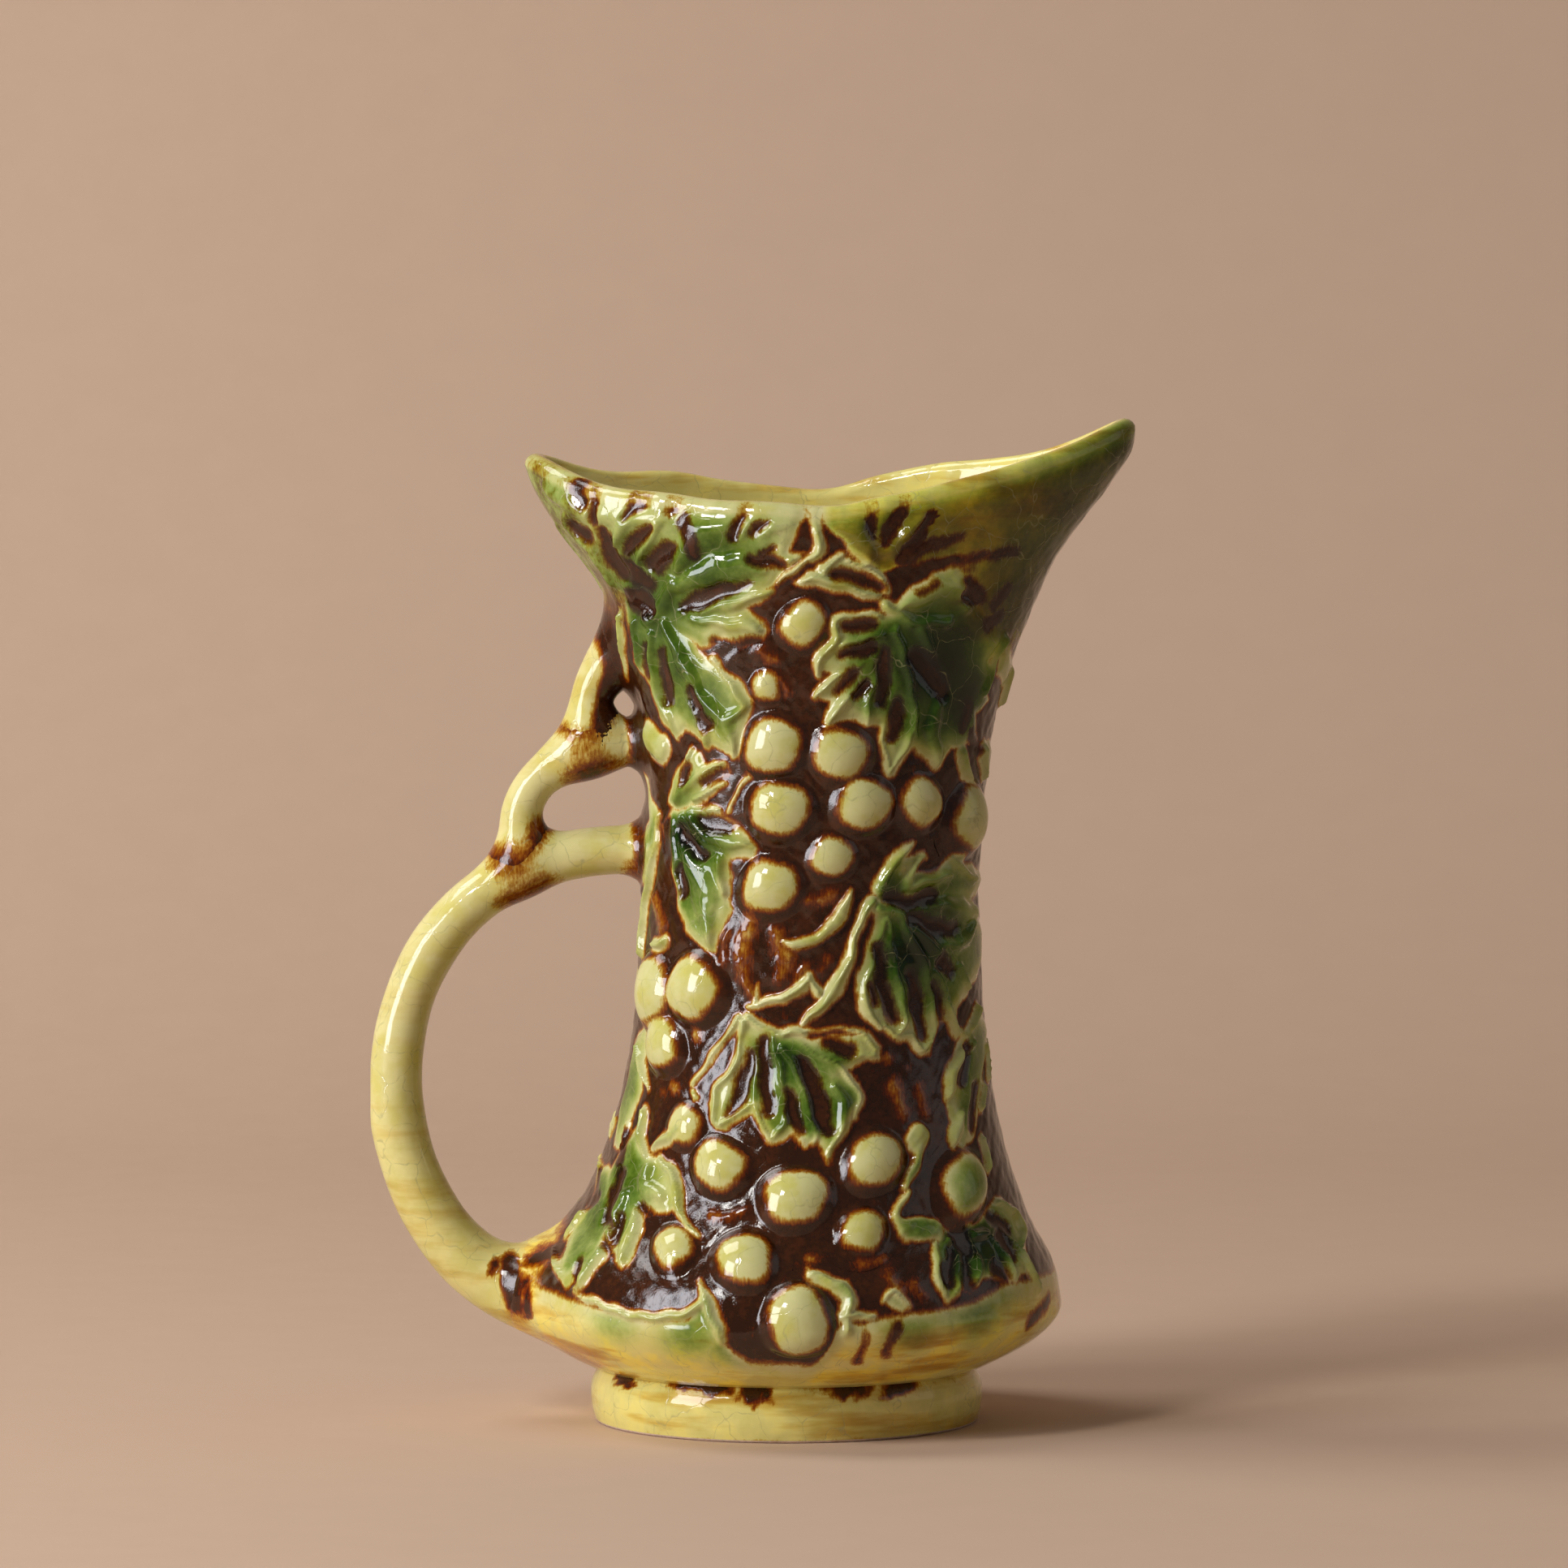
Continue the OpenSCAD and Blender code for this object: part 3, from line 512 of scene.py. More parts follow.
        [(870, 1600, 9), (882, 1630, 10), (892, 1652, 6)],
    ],
    "hem_right": [
        [(998, 1572, 7), (1020, 1581, 8), (1036, 1587, 9), (1046, 1602, 9), (1044, 1622, 8),
         (1042, 1640, 8)],
        [(1040, 1622, 8), (1075, 1622, 5)],
        [(1086, 1604, 4), (1097, 1592, 5), (1118, 1612, 3)],
    ],
}
LEAF_FILLS = {
    "rim": [
        [(1013, 632), (1070, 614), (1133, 597), (1160, 592), (1140, 650), (1100, 690), (1065, 690),
         (1030, 660)],
    ],
    "collar_left": [
        [(690, 580), (770, 604), (853, 617), (997, 632), (990, 643), (973, 677), (993, 682), (953, 723),
         (920, 747), (943, 763), (950, 777), (940, 790), (917, 797), (897, 787), (868, 800), (840, 780),
         (800, 760), (780, 735), (767, 722), (730, 670), (703, 627)],
        [(776, 735), (787, 813), (807, 847), (817, 883), (840, 913), (850, 900), (883, 923), (913, 935),
         (927, 880), (932, 863), (917, 840), (893, 820), (867, 800), (850, 770), (833, 745), (807, 725)],
    ],
    "collar_right": [
        [(1093, 753), (1120, 723), (1147, 703), (1168, 695), (1183, 713), (1197, 747), (1213, 767),
         (1233, 787), (1213, 813), (1217, 833), (1210, 847), (1213, 863), (1197, 880), (1200, 913),
         (1167, 923), (1153, 947), (1133, 937), (1120, 923), (1100, 957), (1090, 957), (1083, 940),
         (1080, 897), (1067, 897), (1053, 887), (1023, 893), (1017, 883), (1023, 863), (1007, 860),
         (1003, 847), (1023, 830), (1003, 823), (1003, 810), (1020, 790), (1023, 780), (1020, 757),
         (1047, 752), (1077, 753)],
        [(977, 718), (1033, 680), (1053, 693), (1087, 728), (1080, 742), (1030, 730)],
        [(1230, 790), (1257, 813), (1250, 843), (1230, 850), (1220, 830)],
        [(1207, 907), (1227, 913), (1220, 953), (1207, 960), (1197, 923)],
    ],
    "waist_left": [
        [(827, 990), (832, 960), (857, 922), (868, 923), (875, 938), (900, 940), (905, 952), (883, 967),
         (870, 983), (853, 997), (837, 998)],
        [(833, 997), (870, 993), (903, 1007), (920, 1023), (937, 1043), (930, 1057), (903, 1060),
         (907, 1080), (898, 1093), (908, 1120), (897, 1137), (890, 1153), (888, 1175), (882, 1178),
         (863, 1163), (847, 1147), (840, 1123), (835, 1090), (827, 1060), (820, 1017)],
        [(797, 943), (810, 987), (820, 1003), (813, 1047), (800, 1093), (793, 1077), (803, 1010)],
    ],
    "waist_right": [
        [(1077, 1120), (1067, 1160), (1057, 1193), (1050, 1220), (1057, 1243), (1073, 1265), (1088, 1270),
         (1100, 1280), (1117, 1283), (1127, 1297), (1143, 1300), (1148, 1283), (1153, 1260), (1173, 1267),
         (1177, 1243), (1190, 1220), (1203, 1193), (1207, 1143), (1190, 1113), (1153, 1093), (1113, 1087)],
        [(1073, 1107), (1077, 1080), (1088, 1057), (1123, 1033), (1126, 1037), (1113, 1053), (1137, 1048),
         (1140, 1057), (1113, 1073), (1150, 1073), (1168, 1050), (1180, 1050), (1183, 1060), (1203, 1073),
         (1207, 1093), (1190, 1113), (1093, 1120)],
    ],
    "belly_centre": [
        [(914, 1257), (905, 1298), (891, 1330), (873, 1361), (882, 1393), (896, 1395), (927, 1375),
         (937, 1389), (950, 1415), (964, 1408), (977, 1398), (993, 1416), (1005, 1407), (1018, 1432),
         (1023, 1436), (1036, 1407), (1050, 1379), (1063, 1357), (1059, 1334), (1041, 1321), (1068, 1307),
         (1084, 1307), (1086, 1289), (1068, 1271), (1032, 1275), (995, 1279), (973, 1270), (946, 1264)],
    ],
    "belly_left": [
        [(805, 1379), (796, 1416), (810, 1427), (832, 1429), (841, 1470), (846, 1493), (814, 1497),
         (791, 1502), (789, 1538), (778, 1565), (762, 1561), (751, 1534), (723, 1574), (705, 1579),
         (719, 1543), (746, 1497), (751, 1452), (769, 1416), (787, 1389)],
        [(745, 1428), (735, 1478), (708, 1528), (692, 1575), (700, 1592), (726, 1574), (752, 1532),
         (764, 1480), (760, 1440)],
        [(803, 1255), (801, 1300), (796, 1345), (780, 1390), (770, 1420), (760, 1415), (768, 1370),
         (780, 1320), (786, 1285)],
    ],
    "hip": [
        [(1166, 1305), (1184, 1264), (1199, 1240), (1212, 1262), (1208, 1310), (1203, 1352), (1197, 1402),
         (1182, 1420), (1167, 1396), (1160, 1350)],
    ],
    "belly_right": [
        [(1159, 1515), (1146, 1543), (1150, 1588), (1164, 1606), (1181, 1594), (1199, 1584), (1218, 1576),
         (1245, 1581), (1262, 1570), (1258, 1529), (1238, 1490), (1218, 1480), (1204, 1505), (1181, 1511)],
    ],
    "hem_right": [
        [(992, 1562), (1015, 1572), (1045, 1580), (1054, 1600), (1050, 1640), (1036, 1640), (1034, 1605),
         (1020, 1592), (1000, 1586)],
        [(1084, 1606), (1098, 1590), (1120, 1610), (1112, 1618)],
    ],
}
SPOUT_WASH = [
    (1013, 625), (1070, 605), (1133, 588), (1207, 573), (1300, 542), (1390, 512), (1405, 525), (1335, 650),
    (1290, 725), (1255, 742), (1250, 700), (1235, 684), (1160, 688), (1110, 700), (1085, 705), (1065, 690),
    (1040, 670), (1020, 650),
]
LEAF_PITS = [
    [(722, 645, 5), (737, 658, 6)], [(748, 612, 3), (749, 638, 4)],
    [(722, 590, 6), (732, 612, 5), (736, 622, 3)], [(757, 655, 6), (763, 675, 7), (777, 700, 9)],
    [(786, 634, 3), (795, 624, 5), (806, 619, 3)], [(786, 674, 5), (800, 660, 6), (814, 649, 3)],
    [(812, 692, 6), (832, 672, 6)], [(833, 628, 5), (846, 614, 6)],
    [(906, 660, 3), (914, 642, 5), (921, 626, 3)], [(927, 659, 2), (936, 650, 4), (945, 643, 2)],
    [(930, 688, 4), (948, 690, 7), (965, 694, 5)], [(940, 682, 3), (952, 676, 4)],
    [(852, 747, 6), (875, 736, 9), (902, 725, 7), (926, 719, 2)],
    [(795, 730, 5), (806, 738, 8), (815, 752, 4)], [(784, 775, 2), (786, 815, 3)],
    [(803, 795, 2), (805, 830, 2)], [(824, 800, 3), (829, 835, 5), (833, 862, 5)],
    [(859, 850, 4), (866, 872, 6)], [(869, 881, 5), (875, 892, 7)],
    [(1073, 622, 3), (1073, 645, 5), (1074, 662, 2)],
    [(1087, 668, 4), (1095, 650, 8), (1105, 635, 8), (1113, 619, 3)],
    [(1142, 635, 5), (1126, 660, 5), (1112, 678, 4)], [(1178, 604, 3), (1193, 590, 6), (1203, 580, 4)],
    [(1028, 707, 4), (1046, 708, 7), (1066, 715, 7), (1083, 725, 4)],
    [(1042, 771, 5), (1057, 769, 7), (1073, 770, 5)], [(1036, 808, 3), (1052, 801, 6), (1068, 798, 8)],
    [(1051, 827, 4), (1039, 842, 5), (1030, 853, 4)], [(1054, 855, 4), (1063, 845, 5)],
    [(1087, 800, 3), (1087, 830, 7), (1084, 865, 5)], [(1104, 865, 5), (1101, 885, 8), (1098, 908, 5)],
    [(1125, 808, 10), (1140, 830, 12), (1155, 852, 8)], [(1180, 735, 5), (1198, 735, 6)],
    [(853, 945, 5), (848, 960, 4)], [(872, 963, 2), (888, 955, 4), (900, 950, 3)],
    [(873, 991, 3), (888, 984, 5), (903, 976, 3)], [(868, 1008, 4), (886, 1016, 9), (900, 1018, 6)],
    [(845, 1018, 4), (856, 1040, 6), (872, 1054, 5)], [(826, 1012, 5), (826, 1055, 7), (822, 1090, 5)],
    [(845, 1068, 3), (848, 1100, 5)], [(815, 1108, 5), (824, 1120, 5)],
    [(1090, 1104, 5), (1115, 1112, 8), (1142, 1102, 6)],
    [(1118, 1130, 7), (1148, 1143, 8), (1170, 1145, 5)],
    [(1081, 1165, 5), (1085, 1215, 7), (1099, 1256, 6)], [(1072, 1215, 3), (1075, 1235, 4)],
    [(1119, 1200, 5), (1126, 1240, 8), (1131, 1276, 5)],
    [(1145, 1212, 3), (1152, 1236, 4), (1155, 1256, 2)], [(1155, 1185, 8), (1165, 1195, 6)],
    [(902, 1296, 3), (906, 1284, 4)], [(927, 1298, 4), (919, 1330, 8), (909, 1360, 7), (903, 1372, 3)],
    [(942, 1282, 4), (945, 1330, 6), (949, 1370, 5)], [(972, 1345, 4), (980, 1375, 6), (986, 1396, 4)],
    [(988, 1308, 6), (1004, 1340, 9), (1012, 1370, 8), (1020, 1396, 4)], [(1018, 1284, 7), (1045, 1293, 8)],
    [(815, 1378, 6), (820, 1390, 5)], [(755, 1498, 3), (760, 1512, 3)], [(750, 1535, 4), (757, 1550, 4)],
    [(718, 1560, 4), (715, 1580, 3)], [(730, 1485, 5), (742, 1478, 3)], [(1160, 1563, 4), (1163, 1580, 3)],
    [(1175, 1520, 10), (1190, 1545, 8)], [(1185, 1560, 2), (1196, 1592, 2)],
    [(1168, 1545, 5), (1166, 1580, 5)], [(1184, 1552, 4), (1190, 1590, 5)],
    [(1226, 1522, 6), (1243, 1552, 5)], [(1222, 1562, 6), (1236, 1576, 5)],
    [(1214, 1500, 5), (1236, 1516, 4)], [(1185, 1290, 4), (1180, 1332, 5)],
    [(1195, 1340, 4), (1192, 1390, 5)], [(796, 1488, 4), (806, 1500, 5)],
    [(772, 1448, 5), (760, 1480, 5), (752, 1505, 5)], [(744, 1448, 4), (738, 1475, 5)],
    [(772, 1502, 3), (762, 1532, 4)], [(1066, 1644, 3), (1055, 1674, 4)],
    [(1105, 1632, 3), (1095, 1655, 4), (1090, 1667, 3)],
]
STEM_RIBS = {
    "stem_collar": [
        [(1006, 684, 4), (990, 694, 4), (972, 705, 4), (958, 718, 3)],
    ],
    "stem_waist": [
        [(967, 1158, 3), (985, 1164, 7), (1005, 1155, 8), (1030, 1135, 8), (1042, 1112, 7),
         (1046, 1096, 3)],
    ],
    "tendril_belly": [
        [(1127, 1402, 16), (1128, 1424, 8), (1120, 1447, 7), (1112, 1464, 5)],
        [(1115, 1470, 5), (1104, 1490, 6), (1103, 1506, 8), (1120, 1518, 15), (1142, 1516, 14),
         (1156, 1530, 6)],
    ],
}
BERRIES = {
    "neck": [(990, 770, 64), (945, 846, 42)],
    "upper": [(955, 920, 78), (1035, 930, 74), (962, 998, 78), (1062, 992, 74), (1130, 990, 62),
              (1186, 1010, 62), (1024, 1056, 58), (951, 1094, 76)],
    "middle": [(860, 1220, 78), (812, 1222, 62), (823, 1287, 58)],
    "lower": [(848, 1390, 52), (890, 1440, 72), (980, 1480, 84), (1075, 1434, 76), (1061, 1522, 64),
              (1181, 1466, 76), (918, 1557, 78), (833, 1542, 60), (983, 1628, 84)],
}
CRUMBS = [(1090, 1305, 8), (835, 1340, 9), (820, 1347, 7), (862, 1275, 8), (1000, 1552, 9), (1128, 1420, 8)]
EMBERS = [
    [(928, 1132, 10), (916, 1165, 13), (918, 1200, 11), (930, 1228, 6)],
    [(958, 1148, 10), (968, 1178, 12), (962, 1208, 8)], [(898, 1150, 7), (892, 1185, 8)],
    [(990, 1195, 8), (982, 1215, 6)], [(1060, 1560, 7), (1085, 1556, 8)], [(998, 1110, 9), (1026, 1100, 8)],
    [(938, 800, 8), (956, 813, 7)], [(1098, 1338, 8), (1110, 1372, 9)], [(1130, 1345, 7), (1139, 1372, 8)],
    [(880, 1500, 7), (905, 1501, 8), (922, 1492, 5)], [(1090, 1572, 8), (1106, 1592, 7)],
    [(1125, 1585, 6), (1136, 1600, 5)], [(812, 1108, 7), (820, 1142, 8)], [(962, 835, 5), (972, 850, 6)],
    [(1020, 1180, 4), (1010, 1195, 5)],
]
HEM_LINE = [
    (690, 1590), (715, 1600), (750, 1612), (800, 1624), (850, 1622), (868, 1604), (885, 1640), (905, 1662),
    (925, 1672), (1000, 1676), (1012, 1668), (1030, 1635), (1045, 1625), (1060, 1630), (1080, 1622),
    (1120, 1617), (1150, 1612), (1180, 1606), (1200, 1600), (1230, 1582), (1260, 1575),
]
GREENS = [
    (880, 690, 58, 1), (930, 655, 40, .5), (795, 790, 26, .8), (845, 815, 34, 1), (872, 862, 34, .9),
    (900, 885, 26, .7), (700, 615, 30, .5), (1060, 650, 50, .45), (1140, 612, 46, .5), (1090, 785, 34, .8),
    (1130, 830, 44, 1), (1140, 890, 28, .9), (1066, 868, 18, .8), (1080, 860, 20, .7), (860, 1040, 50, 1),
    (856, 1090, 40, .9), (815, 1030, 14, .8), (870, 1130, 24, .6), (1085, 1100, 30, .8),
    (1110, 1180, 46, 1), (1065, 1130, 20, .7), (1100, 1060, 16, .6), (1130, 1230, 26, .5),
    (975, 1310, 44, 1), (1000, 1375, 46, .9), (1040, 1360, 32, .9), (960, 1390, 18, .7),
    (1030, 1300, 26, .7), (1010, 1240, 22, .5), (780, 1460, 44, .9), (742, 1500, 32, .8),
    (880, 1612, 26, .9), (1045, 1598, 26, .9), (1130, 1515, 26, .8), (1170, 1570, 44, .8),
    (1225, 1550, 36, .8), (1181, 1466, 30, .5), (735, 1560, 26, .7), (800, 1400, 22, .6),
    (740, 1480, 30, .8), (782, 1340, 30, .7), (850, 1640, 30, .5), (900, 1662, 24, .4),
    (1120, 1628, 30, .4), (1200, 1606, 34, .5), (760, 1612, 28, .45), (1195, 1300, 26, .5),
    (1120, 1445, 20, .6),
]
# deep green patches: deeper glaze in places, and painted shade in the strong ones on the spout side away
# from the lamps
DEEP_GREENS_AND_SHADE = [
    (1125, 1165, 40, .9), (1150, 815, 54, 1.1), (1180, 860, 38, 1), (800, 735, 30, .6), (848, 1025, 30, .7),
    (1195, 1530, 40, 1), (830, 765, 26, .6), (1150, 1120, 40, .5), (968, 1300, 18, .3),
    (1090, 1105, 24, .5), (1215, 1545, 26, .6),
]
# where the green runs thin
PALES = [
    (930, 632, 40, .55), (726, 611, 26, .7), (770, 640, 26, .6), (815, 640, 34, .75), (860, 605, 30, .7),
    (911, 611, 34, .6), (976, 640, 30, .6), (990, 600, 26, .6), (900, 760, 26, .5), (905, 895, 18, .4),
    (745, 632, 44, .75), (800, 622, 38, .7), (712, 612, 24, .5), (835, 655, 26, .5), (965, 690, 22, .5),
    (985, 650, 26, .5), (925, 772, 22, .7), (835, 890, 16, .6), (880, 908, 16, .5), (1018, 820, 36, .7),
    (1040, 870, 24, .6), (1050, 735, 34, .6), (1150, 722, 34, .5), (1228, 820, 24, .4), (1094, 940, 18, .5),
    (1146, 935, 18, .4), (880, 955, 30, .6), (1060, 1240, 20, .6), (1120, 1275, 22, .6),
    (885, 1375, 20, .6), (950, 1400, 16, .5), (820, 1470, 26, .6), (775, 1555, 18, .5),
    (1152, 1570, 14, .6), (1176, 1585, 12, .6), (1172, 1340, 14, .6), (1240, 1565, 16, .6),
    (1075, 1280, 16, .5),
]
# brown burnt into the top of the leaves, the lip and the spout
SCORCHES = [
    [(766, 660, 5), (768, 688, 10), (790, 702, 10), (812, 716, 9)], [(790, 735, 9), (806, 748, 10)],
    [(838, 672, 5), (822, 695, 10)], [(850, 640, 6), (858, 660, 8), (866, 680, 6)],
    [(930, 690, 5), (955, 692, 8)], [(692, 577, 4), (702, 579, 4)],
    [(722, 588, 5), (728, 605, 6), (738, 620, 4)], [(766, 604, 5), (776, 602, 5)],
    [(838, 614, 7), (848, 606, 5)], [(905, 795, 7), (935, 790, 8)], [(885, 790, 6), (900, 800, 8)],
    [(1110, 692, 8), (1138, 672, 6), (1175, 662, 4)], [(1168, 692, 5), (1200, 684, 5), (1240, 678, 4)],
    [(1185, 715, 7), (1200, 735, 8)], [(1215, 745, 5), (1232, 725, 5)], [(1208, 768, 7), (1224, 758, 5)],
    [(1126, 730, 4), (1145, 718, 4)], [(1262, 1630, 4), (1280, 1612, 5), (1288, 1600, 4)],
    [(760, 1470, 5), (756, 1500, 5)], [(778, 1400, 6), (770, 1430, 6)], [(1190, 905, 6), (1198, 925, 7)],
    [(1185, 870, 6), (1180, 895, 6)],
]
# how far outside a stroke is still worked out, and what stands for farther off, in millimetres
OUT_OF_REACH = -6.0
FAR_OFF = 99.0
# a berry's foot over its own radius, and the height of the ground's grain
BERRY_SPREAD = 1.2
GROUND_ROUGH = 0.3


def flow(stroke):
    """A stroke's points with smooth bends drawn between them."""
    rows = np.array(stroke, float)
    if len(rows) < 3:
        return rows
    rows = np.concatenate([[2 * rows[0] - rows[1]], rows, [2 * rows[-1] - rows[-2]]])
    out = []
    for p, q, r, s in zip(rows[:-3], rows[1:-2], rows[2:-1], rows[3:]):
        for t in (0, 1 / 3, 2 / 3):
            out.append(q + (r - p) * t / 2 + (p - 2.5 * q + 2 * r - s / 2) * t**2
                       + (1.5 * (q - r) + (s - p) / 2) * t**3)
    return np.array(out + [rows[-2]])


def stroke_field(u, v, strokes):
    """How far inside the strokes each place is, and how near the strokes' middle lines, 0 to 1."""
    inside = np.full(u.shape, OUT_OF_REACH)
    crest = np.zeros(u.shape)
    for line in strokes:
        for (u0, v0, r0), (u1, v1, r1) in zip(line[:-1], line[1:]):
            reach = max(r0, r1) - OUT_OF_REACH
            near = np.nonzero((u > min(u0, u1) - reach) & (u < max(u0, u1) + reach)
                              & (v > min(v0, v1) - reach) & (v < max(v0, v1) + reach))[0]
            if not near.size:
                continue
            du, dv = u1 - u0, v1 - v0
            pu, pv = u[near] - u0, v[near] - v0
            t = np.clip((pu * du + pv * dv) / max(du * du + dv * dv, 1e-6), 0, 1)
            gap = np.hypot(pu - du * t, pv - dv * t)
            r = r0 + (r1 - r0) * t
            inside[near] = np.maximum(inside[near], r - gap)
            crest[near] = np.maximum(crest[near], 1 - (gap / r)**2)
    return inside, crest


def fill_field(u, v, outlines):
    """How far inside closed outlines each place is."""
    inside = np.full(u.shape, OUT_OF_REACH)
    for rows in outlines:
        low, high = rows.min(0) + OUT_OF_REACH, rows.max(0) - OUT_OF_REACH
        near = np.nonzero((u > low[0]) & (u < high[0]) & (v > low[1]) & (v < high[1]))[0]
        if not near.size:
            continue
        x, y = u[near], v[near]
        gap, within = np.full(x.shape, FAR_OFF), np.zeros(x.shape, bool)
        for (u0, v0), (u1, v1) in zip(rows, np.roll(rows, -1, 0)):
            du, dv = u1 - u0, v1 - v0
            t = np.clip(((x - u0) * du + (y - v0) * dv) / max(du * du + dv * dv, 1e-6), 0, 1)
            gap = np.minimum(gap, np.hypot(x - u0 - du * t, y - v0 - dv * t))
            if v0 != v1:
                within ^= ((v0 > y) != (v1 > y)) & (x < u0 + (y - v0) / (v1 - v0) * du)
        inside[near] = np.maximum(inside[near], np.where(within, gap, -gap))
    return inside


# Handle lines

STAND_OFF = 3.0
LOOP_T, LOOP_DEPTH, ROOT_FLARE = 11.4, 13.5, 1.5
LOOP_TOP_SHARE, LOOP_MID_SHARE, LOOP_ROOT_SHARE = 0.622, 0.358, 0.147
LOOP_UPPER_POWER, LOOP_LOWER_POWER = 0.905, 1.13
MIDDLE_T, MIDDLE_TOP_SHARE, MIDDLE_FOOT_SHARE, MIDDLE_REACH_SHARE = 9.6, 0.738, 0.648, 0.64
TOP_T, TOP_START_SHARE, TOP_FOOT_SHARE, TOP_REACH_SHARE = 9.0, 0.8313, 0.77, 0.377
TOP_START = math.radians(40)
ARCH_DEPTH = 1.1
QUARTER = math.pi / 2
JOIN_STEPS = 4
# how far each strand runs on into what it meets, at its start and its end
LOOP_LEADS, MIDDLE_LEADS, TOP_LEADS = (5.5, 7.5), (5.5, 10.0), (4.9, 8.0)
# how far round each strand the clay is smoothed into what it meets, and round the loop's root
LOOP_BLEND, MIDDLE_BLEND, TOP_BLEND, ROOT_BLEND = 7.0, 7.5, 10.0, 18.0
STRAND_STEP = 0.7


def arc(x, z, far, up, a, power=1.0):
    """Points on an arc in the handle's plane, from its top outwards."""
    return np.stack([-(x + far * np.abs(np.sin(a))**power), 0 * a,
                     z + up * np.sign(np.cos(a)) * np.abs(np.cos(a))**power], -1)


def joined(a, b, blend):
    """How far outside two bodies run smoothly together, from how far outside each."""
    return np.minimum(a, b) - blend / 4 * np.clip(1 - np.abs(a - b) / blend, 0, 1)**2


class Strand:
    """One strand of the handle: its middle line, led on into what it meets, and its half sizes."""

    def __init__(self, path, wide, deep, flare, leads, blends):
        self.blend, self.root = blends
        start, end = path[0] - path[1], path[-1] - path[-2]
        path = np.concatenate([[path[0] + start / np.linalg.norm(start) * leads[0]], path,
                               [path[-1] + end / np.linalg.norm(end) * leads[1]]])
        length = np.concatenate([[0], np.cumsum(np.linalg.norm(np.diff(path, axis=0), axis=1))])
        self.at = np.linspace(0, length[-1], int(length[-1] / STRAND_STEP) + 1)
        line = np.stack([np.interp(self.at, length, path[:, k]) for k in range(3)], -1)
        line[1:-1] = (line[:-2] + 2 * line[1:-1] + line[2:]) / 4
        self.line, self.wide, self.deep = line, wide, deep
        self.size = 1 + (flare - 1) * (self.at / self.at[-1])**3

    def gap(self, p):
        """How far points are outside the strand, nearly, in millimetres."""
        out = np.full(len(p), FAR_OFF)
        for (x, _, z), size in zip(self.line[::2], self.size[::2]):
            far = np.sqrt(((p[:, 0] - x)**2 + (p[:, 2] - z)**2) / self.wide**2 + (p[:, 1] / self.deep)**2)
            out = np.minimum(out, (far - size) * self.wide)
        return out

    def blend_at(self, z):
        """How far round the strand it blends with its neighbours, at a height."""
        return self.blend + (self.root - self.blend) * (1 - ease(45, 75, z))


# brown stains at the handle's root, drawn on the photograph
ROOT_STAINS = [
    [(629, 1548, 8), (632, 1572, 11), (636, 1602, 7)], [(650, 1570, 4), (653, 1608, 5)],
    [(612, 1550, 3), (606, 1562, 2)], [(655, 1546, 5), (672, 1538, 8), (694, 1530, 6)],
]


def seen_pixels(p):
    """Pixels of the photograph at which places are seen."""
    forward, right, up, focal = view_axes()
    from_eye = p - EYE
    far = from_eye @ forward
    return MID_PIXEL + from_eye @ right / far * focal, MID_PIXEL - from_eye @ up / far * focal


def root_stain(p):
    """How deep the brown lies in the stains at the handle's root."""
    x, y = seen_pixels(p * np.array([1, 0, 1]))
    inside = stroke_field(x, y, ROOT_STAINS)[0]
    return np.where(inside > OUT_OF_REACH, inside * PIXEL, OUT_OF_REACH)


def at_root(z):
    """1 at the height of the handle's root, 0 above it."""
    return 1 - ease(48, 62, z)


def join_brown(z):
    """Brown pooled where the handle meets the wall, in millimetres."""
    return 0.1 + 0.7 * ease(140, 150, z) - 1.5 * at_root(z)


def handle_strands(wall, reach):
    """The loop, the middle arch and the top arch of the handle."""
    def side(z):
        return float(wall.reach(np.array(z), wall.thumb)) + STAND_OFF

    rim = wall.rim_h
    top_z, mid_z, root_z = rim * LOOP_TOP_SHARE, rim * LOOP_MID_SHARE, rim * LOOP_ROOT_SHARE
    far = reach - LOOP_T / 2
    upper = np.linspace(0, QUARTER, 60)
    lower = np.linspace(QUARTER, 2 * QUARTER, 50)[1:]
    loop = np.concatenate([
        arc(side(top_z), mid_z, far - side(top_z), top_z - mid_z, upper, LOOP_UPPER_POWER),
        arc(side(root_z), mid_z, far - side(root_z), mid_z - root_z, lower, LOOP_LOWER_POWER)])
    m_top, m_foot, m_far = rim * MIDDLE_TOP_SHARE, rim * MIDDLE_FOOT_SHARE, reach * MIDDLE_REACH_SHARE
    middle = arc(side(m_top), m_foot, m_far - side(m_top), m_top - m_foot, np.linspace(0, QUARTER, 40))
    t_start, t_foot = rim * TOP_START_SHARE, rim * TOP_FOOT_SHARE
    foot_x = side(m_top) + (m_far - side(m_top)) * TOP_REACH_SHARE
    t_far = (foot_x - side(t_start)) / (1 - math.sin(TOP_START))
    t_up = (t_start - t_foot) / math.cos(TOP_START)
    top = arc(foot_x - t_far, t_foot, t_far, t_up, np.linspace(TOP_START, QUARTER, 30))
    return {
        "handle_loop": Strand(loop, LOOP_T / 2, LOOP_DEPTH / 2, ROOT_FLARE, LOOP_LEADS,
                              (LOOP_BLEND, ROOT_BLEND)),
        "handle_middle_arch": Strand(middle, MIDDLE_T / 2, MIDDLE_T / 2 * ARCH_DEPTH, 1.0, MIDDLE_LEADS,
                                     (MIDDLE_BLEND, MIDDLE_BLEND)),
        "handle_top_arch": Strand(top, TOP_T / 2, TOP_T / 2 * ARCH_DEPTH, 1.0, TOP_LEADS,
                                  (TOP_BLEND, TOP_BLEND)),
    }


# Relief

